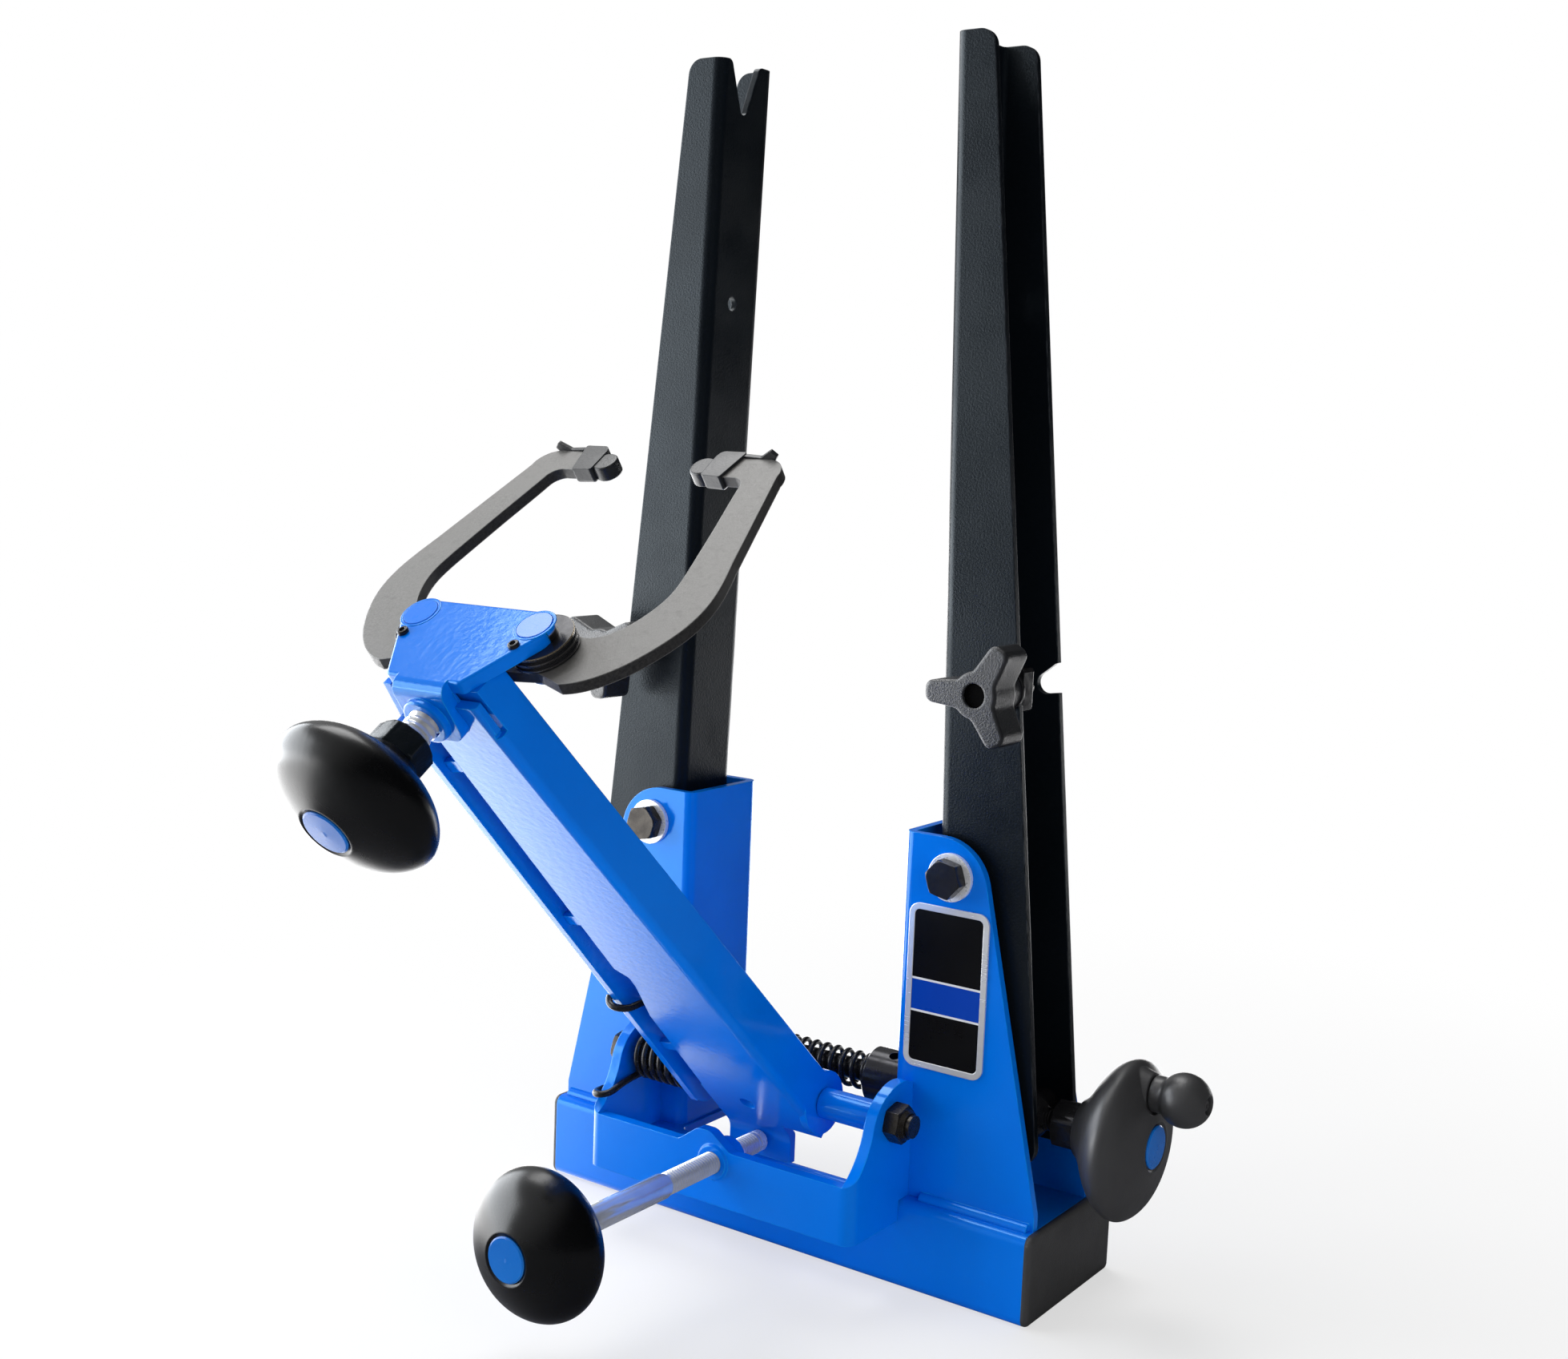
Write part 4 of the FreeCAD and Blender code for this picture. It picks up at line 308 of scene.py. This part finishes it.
def paints():
    """Paint on the steel, the knobs' discs and the label's print."""
    print_coat = {"peel_scale": 600.0, "radius": 0.0002}
    painted("blue_paint", BLUE, BLUE_DEEP, BLUE_EDGE, rough=0.12, peel=0.14, peel_scale=380.0,
            specular=0.70, tint=(0.24, 0.66, 1.0))
    painted("upright_black", (0.0042, 0.0062, 0.0092), (0.0032, 0.0048, 0.0070), (0.045, 0.050, 0.058),
            rough=0.34, peel=0.26, peel_scale=1100.0, radius=0.0008, specular=0.22, tint=(0.80, 0.92, 1.0))
    painted("blue_inset", (0.001, 0.150, 0.560), (0.001, 0.110, 0.480), (0.10, 0.35, 0.80),
            rough=0.24, peel=0.04, peel_scale=300.0, radius=0.0003, coat=0.3, specular=0.2)
    painted("label_black", (0.0030, 0.0030, 0.0036), (0.0020, 0.0020, 0.0024), (0.02, 0.02, 0.022),
            rough=0.30, peel=0.04, specular=0.12, **print_coat)
    painted("label_blue", (0.0, 0.050, 0.42), (0.0, 0.040, 0.36), (0.02, 0.16, 0.60),
            rough=0.30, peel=0.04, specular=0.12, **print_coat)
    painted("label_white", (0.80, 0.81, 0.82), (0.72, 0.73, 0.75), (0.9, 0.9, 0.9),
            rough=0.22, peel=0.05, **print_coat)


def plastics():
    """Knobs, grip, end caps, finger clips and friction washers."""
    moulded("black_plastic", (0.042, 0.042, 0.043), (0.070, 0.070, 0.072),
            rough=0.42, grain=0.4, grain_scale=1500.0, radius=0.0040, specular=0.45)
    moulded("gloss_black", (0.0010, 0.0012, 0.0016), (0.0024, 0.0026, 0.0032),
            rough=0.27, grain=0.05, grain_scale=260.0, radius=0.0010, specular=0.46)
    moulded("satin_black", (0.034, 0.034, 0.036), (0.054, 0.054, 0.057),
            rough=0.40, grain=0.12, grain_scale=900.0, radius=0.0010, specular=0.80)
    moulded("star_black", (0.0070, 0.0080, 0.0098), (0.034, 0.036, 0.042),
            rough=0.42, grain=0.55, grain_scale=1300.0, radius=0.0012, specular=0.95)
    # dead black, almost without gloss, for the clamp knobs' recess floors: painted shade
    moulded("pit_painted_shade", (0.0010, 0.0010, 0.0010), (0.0020, 0.0020, 0.0020),
            rough=0.85, grain=0.30, grain_scale=900.0, specular=0.05)
    moulded("clip_plastic", (0.009, 0.010, 0.012), (0.027, 0.030, 0.034),
            rough=0.40, grain=0.3, grain_scale=900.0, radius=0.0005)
    moulded("friction_nylon", (0.02, 0.02, 0.021), (0.06, 0.06, 0.06),
            rough=0.55, grain=0.3, grain_scale=1200.0)


def metals():
    """Plated, oxidised and bare fasteners, springs and the label's border."""
    metal("zinc", (0.92, 0.93, 0.95), (0.84, 0.86, 0.89), 0.28, metallic=0.45, bump=0.01)
    metal("drawn_zinc", (0.90, 0.92, 0.95), (0.78, 0.81, 0.86), 0.13, grain=(260.0, 22.0, 260.0),
          radius=0.0001, metallic=0.66, bump=0.004)
    metal("dark_zinc", (0.26, 0.25, 0.24), (0.11, 0.10, 0.10), 0.30)
    metal("black_oxide", (0.030, 0.030, 0.034), (0.014, 0.014, 0.016), 0.20, metallic=0.6, bump=0.02)
    metal("worn_oxide", (0.050, 0.045, 0.039), (0.016, 0.014, 0.013), 0.24, metallic=0.75, bump=0.03)
    metal("worn_brass", (0.46, 0.38, 0.26), (0.16, 0.13, 0.10), 0.26, metallic=0.9)
    metal("spring_black", (0.018, 0.018, 0.020), (0.008, 0.008, 0.009), 0.24, metallic=0.4)
    metal("label_rim", (0.94, 0.945, 0.95), (0.86, 0.87, 0.885), 0.20, grain=(30.0, 700.0, 700.0),
          metallic=0.6, bump=0.008)
    caliper_steel()
    caliper_pin(BLUE, plating=(0.45, 0.45, 0.44), worn_highlit_paint=(0.10, 0.30, 0.85))


paints()
plastics()
metals()

NODE_MATERIALS = {
    "blue_paint": ("base_channel", "bracket_right", "bracket_left", "yoke", "arm_body", "arm_side_plate",
                   "head_plate", "spacer_tube"),
    "upright_black": ("upright_right", "upright_left"),
    "black_plastic": ("end_cap_right", "end_cap_left"),
    "label_rim": ("label_plate",),
    "zinc": ("front_washer_right", "front_washer_left", "rear_washer_right", "rear_washer_left",
             "pivot_nut_right", "pivot_nut_left", "lower_nose", "caliper_nose"),
    "worn_oxide": ("pivot_bolt_left", "arm_pivot_bolt", "arm_pivot_nut"),
    "dark_zinc": ("star_stud_right", "star_stud_left"),
    "caliper_pin": ("caliper_pin_right", "caliper_pin_left"),
    "friction_nylon": ("friction_washer_right", "friction_washer_left"),
    "spring_black": ("arm_spring", "rod_spring"),
    "star_black": ("star_knob_right", "star_knob_left"),
    "black_oxide": ("pivot_bolt_right", "star_washer_right", "star_washer_left", "clamp_nut_right",
                    "clamp_nut_left", "drive_rod", "shaft_collar", "trunnion_right", "trunnion_left",
                    "spacer_stack_right", "spacer_stack_left", "head_screw_right", "head_screw_left"),
    "gloss_black": ("caliper_knob", "lower_knob"),
    "satin_black": ("main_knob", "crank_grip"),
    "blue_inset": ("main_inset", "caliper_inset", "lower_inset"),
    "caliper_steel": ("caliper_right", "caliper_left"),
    "clip_plastic": ("finger_clip_right", "finger_clip_left"),
}


def dress_nodes():
    for name, nodes in NODE_MATERIALS.items():
        for node in nodes:
            slots = NODES[node].data.materials
            slots.clear()
            slots.append(MATERIALS[name])


dress_nodes()

# ------------------------------------------------------------------ mesh helpers, in mm
SHAFT_COLUMNS = 48
THREAD_STEPS = 10       # rows to one turn
THREAD_FADE = 0.8       # turns over which a thread runs out
THREAD_FLANK = 2.9
THREAD_ROOT = 0.12
HEX_COLUMNS = 72
HEX_CROWN = 0.7
HUB_HEX = 19.0


def frame_of(origin, axis):
    """Matrix from (radial, radial, along) in mm to metres, with its third axis on the given one."""
    along = Vector(axis).normalized()
    side = Vector((0, 0, 1)) if abs(along.z) < 0.9 else Vector((1, 0, 0))
    first = (side - side.dot(along) * along).normalized()
    second = along.cross(first)
    turn = Matrix((first, second, along)).transposed().to_4x4()
    return Matrix.Translation(Vector(origin) * MM) @ turn @ Matrix.Scale(MM, 4)


def add_mesh(name, vertices, faces, matrix, material, body, sharp=None):
    """Mesh that rides on a body; sharp is the angle over which a smooth surface keeps its edges."""
    mesh = bpy.data.meshes.new(name)
    mesh.from_pydata([matrix @ Vector(v) for v in vertices], [], faces)
    mesh.validate()
    mesh.update()
    if sharp is not None:
        mesh.polygons.foreach_set("use_smooth", [True] * len(mesh.polygons))
        mesh.set_sharp_from_angle(angle=math.radians(sharp))
    mesh.materials.append(MATERIALS[material])
    item = bpy.data.objects.new(name, mesh)
    bpy.context.scene.collection.objects.link(item)
    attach(item, body)
    return item


def ring(along, radius, columns):
    """Row of points round the axis; radius is a length, or a function of the column."""
    points = []
    for j in range(columns):
        angle = 2 * math.pi * j / columns
        r = radius(j) if callable(radius) else radius
        points.append((r * math.cos(angle), r * math.sin(angle), along))
    return points


def plain_rows(profile, columns=SHAFT_COLUMNS):
    """Rows of a turned stretch, from (along, radius) pairs."""
    return [ring(along, radius, columns) for along, radius in profile]


def thread_rows(start, stop, crest, pitch, depth, columns=SHAFT_COLUMNS, hand=1):
    """Rows of a helical V thread, faded out at both ends."""
    rows = []
    count = int((stop - start) / pitch * THREAD_STEPS)
    for i in range(count + 1):
        along = start + (stop - start) * i / count
        from_end = min(along - start, stop - along) / (THREAD_FADE * pitch)
        cut = depth * max(0.0, min(1.0, from_end))

        def radius(j):
            phase = (along / pitch - hand * j / columns) % 1.0
            return crest - cut * (1.0 - min(1.0, max(0.0, abs(phase - 0.5) * THREAD_FLANK - THREAD_ROOT)))

        rows.append(ring(along, radius, columns))
    return rows


def hexagon_rows(start, height, across, turn):
    """Rows of a hexagonal prism with a turned chamfer at both ends."""
    corner = across / math.sqrt(3.0)
    full, crowned = corner + 1.0, corner - HEX_CROWN * 1.7
    rows = []
    for along, limit in ((start, crowned), (start + HEX_CROWN, full),
                         (start + height - HEX_CROWN, full), (start + height, crowned)):

        def radius(j):
            from_flat = (360.0 * j / HEX_COLUMNS - turn) % 60.0 - 30.0
            return min(across / 2.0 / math.cos(math.radians(from_flat)), limit)

        rows.append(ring(along, radius, HEX_COLUMNS))
    return rows


def add_rows(name, rows, origin, axis, material, body, sharp=40.0):
    """Closed tube through rows of points, with one flat face at each end."""
    columns = len(rows[0])
    faces = []
    for i in range(len(rows) - 1):
        for j in range(columns):
            k = (j + 1) % columns
            faces.append((i * columns + j, i * columns + k, (i + 1) * columns + k, (i + 1) * columns + j))
    last = (len(rows) - 1) * columns
    faces.append(tuple(range(columns))[::-1])
    faces.append(tuple(last + j for j in range(columns)))
    vertices = [point for row in rows for point in row]
    return add_mesh(name, vertices, faces, frame_of(origin, axis), material, body, sharp)


def rounded_plate(x0, x1, z0, z1, radius, y, depth, steps=8):
    """Vertices and faces of a thin rounded rectangle facing -Y."""
    points = []
    for cx, cz, first in ((x1 - radius, z1 - radius, 0), (x0 + radius, z1 - radius, 90),
                          (x0 + radius, z0 + radius, 180), (x1 - radius, z0 + radius, 270)):
        for i in range(steps + 1):
            angle = math.radians(first + 90.0 * i / steps)
            points.append((cx + radius * math.cos(angle), cz + radius * math.sin(angle)))
    n = len(points)
    vertices = [(x, y, z) for x, z in points] + [(x, y + depth, z) for x, z in points]
    faces = [tuple(range(n)), tuple(range(2 * n - 1, n - 1, -1))]
    faces += [(i, i + n, (i + 1) % n + n, (i + 1) % n) for i in range(n)]
    return vertices, faces


# ------------------------------------------------------------------ screws
SCREW_SHARP = 50.0
HEX_SHARP = 25.0


def caliper_screw():
    """Screw with a smooth shank and a coarse thread, and the hexagonal collar behind its knob."""
    origin = head_point(0, 0, -CALIPER_SCREW_DEPTH)
    back, shank_end, tip = -66.0, -44.0, -20.3
    shank, crest, root = 5.7, 5.95, 5.0
    rows = plain_rows([(back, shank - 0.5), (back + 0.4, shank), (shank_end - 0.6, shank), (shank_end, root)])
    rows += thread_rows(shank_end + 0.1, tip - 0.7, crest, pitch=3.2, depth=0.95)
    rows += plain_rows([(tip - 0.6, root + 0.2), (tip, root - 0.4)])
    shaft = add_rows("caliper_screw_thread", rows, origin, ALONG, "drawn_zinc", "caliper_drive", SCREW_SHARP)
    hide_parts("caliper_screw")
    rows = hexagon_rows(start=-56.8, height=9.2, across=HUB_HEX, turn=14.0)
    collar = add_rows("caliper_screw_collar", rows, origin, ALONG, "upright_black", "caliper_drive", HEX_SHARP)
    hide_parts("caliper_screw")


def lower_screw():
    """Adjuster screw: thick smooth shank, then a fine thread."""
    back, shank_end, tip = -138.0, -71.2, -7.4
    shank, crest = 5.3, 4.76
    rows = plain_rows([(back, shank - 0.2), (back + 0.5, shank), (shank_end, shank), (shank_end + 1.6, crest - 0.06)])
    rows += thread_rows(shank_end + 1.7, tip - 0.8, crest, pitch=1.5875, depth=0.80)
    rows += plain_rows([(tip - 0.6, 4.2), (tip, 3.8)])
    screw = add_rows("lower_screw_thread", rows, LOWER_AXIS, (0, 1, 0), "drawn_zinc", "lower_drive",
                     SCREW_SHARP)
    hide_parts("lower_screw")


def drive_rod():
    """Rod with a left-hand and a right-hand thread, and the hexagonal hub beside the main knob."""
    left_end, right_end, hub_start = -124.0, 143.5, 121.0
    crest, shank, columns = 4.76, 4.7, 44
    thread = {"crest": crest, "pitch": 2.54, "depth": 1.1, "columns": columns}
    rows = plain_rows([(left_end, 4.0), (left_end + 0.6, 4.5)], columns)
    rows += thread_rows(left_end + 0.8, -59.5, hand=-1, **thread)
    rows += plain_rows([(-59.0, crest), (57.0, crest)], columns)
    rows += thread_rows(57.4, hub_start - 0.4, **thread)
    rows += plain_rows([(hub_start - 0.2, shank), (right_end, shank)], columns)
    rod = add_rows("drive_rod_thread", rows, DRIVE_AXIS, (1, 0, 0), "black_oxide", "drive",
                   SCREW_SHARP)
    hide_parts("drive_rod")
    rows = hexagon_rows(hub_start, height=10.5, across=HUB_HEX, turn=8.0)
    hub = add_rows("drive_hub", rows, DRIVE_AXIS, (1, 0, 0), "black_oxide", "drive", HEX_SHARP)
    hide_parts("drive_rod")


caliper_screw()
lower_screw()
drive_rod()


# ------------------------------------------------------------------ crank grip
def crank_grip():
    """Turned grip: straight neck, ball, and an end recess with the head of the pin in it."""
    start, centre, end = 161.35, 174.2, 184.3
    neck, ball, recess = 7.4, 10.9, 4.0
    profile = [(start, 0.0), (start, neck - 0.7), (start + 0.2, neck - 0.3), (start + 0.65, neck - 0.05),
               (start + 2.15, neck), (start + 4.05, neck), (start + 4.95, neck + 0.15), (start + 5.55, neck + 0.55)]
    first = math.pi - math.asin((neck + 1.0) / ball)
    last = math.asin((recess + 0.3) / ball)
    for i in range(25):
        angle = first + (last - first) * i / 24
        profile.append((centre + ball * math.cos(angle), ball * math.sin(angle)))
    groove = [(0.0, recess), (0.2, 3.7), (0.8, 3.5), (2.7, 3.4), (2.9, 3.2), (2.9, 2.5), (2.7, 2.3)]
    pin_head = [(1.2, 2.2), (0.9, 1.9), (0.9, 1.1), (1.2, 0.9), (1.9, 0.8), (2.0, 0.0)]
    profile += [(end - depth, radius) for depth, radius in groove + pin_head]
    grip = add_rows("crank_grip_body", plain_rows(profile, 80), GRIP_AXIS, (1, 0, 0), "satin_black", "grip")
    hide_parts("crank_grip")


crank_grip()


# ------------------------------------------------------------------ label
def label():
    """Plain black, blue and black fields with two white lines, inside the plate's border."""
    border, face_y = 2.65, 7.0 + SHIFT_Y
    x0, x1 = 60.2 + border, 97.6 - border
    z0, z1 = 94.4 + border, 163.6 - border
    band_low, band_high, half_line = 118.2, 131.8, 0.45
    square, back = 0.05, 0.04
    panels = (
        ("label_field", z0, z1, 2.3, 0.0, "label_black"),
        ("label_band", band_low, band_high, square, -0.04, "label_blue"),
        ("label_line_low", band_low - half_line, band_low + half_line, square, -0.06, "label_white"),
        ("label_line_high", band_high - half_line, band_high + half_line, square, -0.06, "label_white"),
    )
    for name, low, high, corner, out, material in panels:
        vertices, faces = rounded_plate(x0, x1, low, high, corner, face_y + out, back - out)
        add_mesh(name, vertices, faces, Matrix.Scale(MM, 4), material, "base")


label()


# ------------------------------------------------------------------ small trim
def washer_rims():
    """Worn rims of the thin washers in the stack under the head plate."""
    inner, outer = 11.4, 11.98
    stack = ((-5.35, 0.26, "worn_brass"), (-7.9, 0.14, "dark_zinc"), (-10.3, 0.14, "dark_zinc"))
    for side, name in SIDES:
        for i, (n, half, material) in enumerate(stack):
            profile = [(n - half, inner), (n - half, outer), (n + half, outer), (n + half, inner)]
            add_rows("spacer_edge_%s_%d" % (name, i), plain_rows(profile, 96), head_point(PIN_X * side, 0, 0), UP,
                     material, "arm")


def pin_rims():
    """Shallow painted rims round the flush pin heads."""
    profile = [(-0.1, 6.5), (0.16, 6.7), (0.22, 7.1), (0.16, 7.6), (-0.1, 7.8)]
    for side, name in SIDES:
        add_rows("pin_rim_" + name, plain_rows(profile, 80), head_point(PIN_X * side, 0, 0), UP,
                 "blue_paint", "arm")


def star_pits():
    """Dished floors of the centre recess in the clamp knobs, near-black and dull as painted shade."""
    profile = [(-0.1, 4.84), (0.30, 4.84), (0.24, 4.2), (0.12, 3.2), (0.06, 1.0)]
    for side, name in SIDES:
        origin = (STAR_FACE.x * side, STAR_FACE.y, STAR_FACE.z)
        add_rows("star_pit_" + name, plain_rows(profile, 64), origin, (0, -1, 0),
                 "pit_painted_shade", name + "_star_knob")


washer_rims()
pin_rims()
star_pits()

# ------------------------------------------------------------------ stage and light
FLOOR_SIZE = 14.0
FADE_CENTRE = (0.05, 0.0, 0.0)
LEFT_GLOW = 3.6         # what the left of the floor adds to white, in reflections alone
ROOM_SIDE = Vector((-0.80, -0.30, 0.55)).normalized()
MIDDLE = (0.0, -0.05, 0.22)


def floor_material():
    """Pale floor that keeps the shadow and fades into white; reflections see it darker, and bright on the left."""
    s = Shader("floor")
    tint = s.mix(s.remap(s.noise(3.0, 3.0), 0.3, 0.7, 0.0, 1.0), (0.86, 0.86, 0.865), (0.88, 0.88, 0.88))
    path = s.node("ShaderNodeLightPath")
    camera_ray, glossy_ray = path.outputs["Is Camera Ray"], path.outputs["Is Glossy Ray"]
    s.set(Base_Color=s.mix(glossy_ray, tint, (0.14, 0.14, 0.15)), Roughness=0.7, Specular_IOR_Level=0.2,
          Normal=s.bump(s.noise(800.0, 2.0), 0.03, 0.0003))
    fade = s.remap(s.vector_math("DISTANCE", s.coords, FADE_CENTRE), 0.12, 0.66, 0.62, 1.0)
    place = s.node("ShaderNodeSeparateXYZ")
    s.link(s.coords, place.inputs["Vector"])
    across = s.math("SUBTRACT", s.math("MULTIPLY", place.outputs["Y"], 0.45), place.outputs["X"])
    left = s.remap(across, 0.01, 0.20, 0.0, 1.0)
    white = s.node("ShaderNodeEmission")
    s.link(s.math("ADD", s.math("MULTIPLY", glossy_ray, LEFT_GLOW), 1.0), white.inputs["Strength"])
    blend = s.node("ShaderNodeMixShader")
    s.link(s.math("MAXIMUM", s.math("MULTIPLY", fade, camera_ray), s.math("MULTIPLY", left, glossy_ray)),
           blend.inputs["Fac"])
    s.link(s.bsdf.outputs["BSDF"], blend.inputs[1])
    s.link(white.outputs["Emission"], blend.inputs[2])
    s.link(blend.outputs["Shader"], s.tree.nodes["Material Output"].inputs["Surface"])
    return s.material


def stage():
    bpy.ops.mesh.primitive_plane_add(size=FLOOR_SIZE, location=(0, 0, 0))
    floor = bpy.context.object
    floor.name = "floor"
    floor.data.materials.append(floor_material())


def backdrop():
    """World that the camera sees as white, and that is brighter on the upper left of the object."""
    world = bpy.data.worlds.new("world")
    bpy.context.scene.world = world
    world.use_nodes = True
    w = Nodes(world.node_tree)
    facing = w.vector_math("DOT_PRODUCT", w.node("ShaderNodeTexCoord").outputs["Generated"], ROOM_SIDE)
    strength = w.node("ShaderNodeMix")
    w.link(w.node("ShaderNodeLightPath").outputs["Is Camera Ray"], strength.inputs["Factor"])
    w.link(w.remap(facing, -0.05, 0.90, 0.02, 0.60), strength.inputs[2])
    strength.inputs[3].default_value = 1.0
    background = w.tree.nodes["Background"]
    background.inputs["Color"].default_value = (*WHITE, 1.0)
    w.link(strength.outputs[0], background.inputs["Strength"])


def lamp(name, location, target, width, height, watts, colour=WHITE):
    """Area lamp aimed at a point; a height of None makes it square."""
    data = bpy.data.lights.new(name, "AREA")
    data.energy = watts
    data.color = colour
    data.size = width
    if height:
        data.shape = "RECTANGLE"
        data.size_y = height
    item = bpy.data.objects.new(name, data)
    item.location = location
    item.rotation_euler = (Vector(target) - Vector(location)).to_track_quat("-Z", "Y").to_euler()
    bpy.context.scene.collection.objects.link(item)
    return item


def light():
    """Soft key and fill for the colours, a soft box on the left for the gloss, and a lamp above."""
    key = lamp("key", (-1.32, -0.86, 0.62), MIDDLE, 0.70, 1.30, 16.0, (0.93, 0.97, 1.0))
    key.visible_glossy = False
    side = lamp("side", (-1.35, -0.72, 0.56), (0.0, -0.72, 0.56), 2.10, 1.10, 42.0, (0.92, 0.96, 1.0))
    side.visible_diffuse = False
    lamp("top", (-0.55, 0.10, 1.55), MIDDLE, 1.10, 0.9, 17.0)
    fill = lamp("fill", (1.5, -0.9, 0.7), MIDDLE, 1.2, None, 11.0)
    fill.visible_glossy = False


stage()
backdrop()
light()
bpy.context.scene.view_settings.view_transform = "Standard"
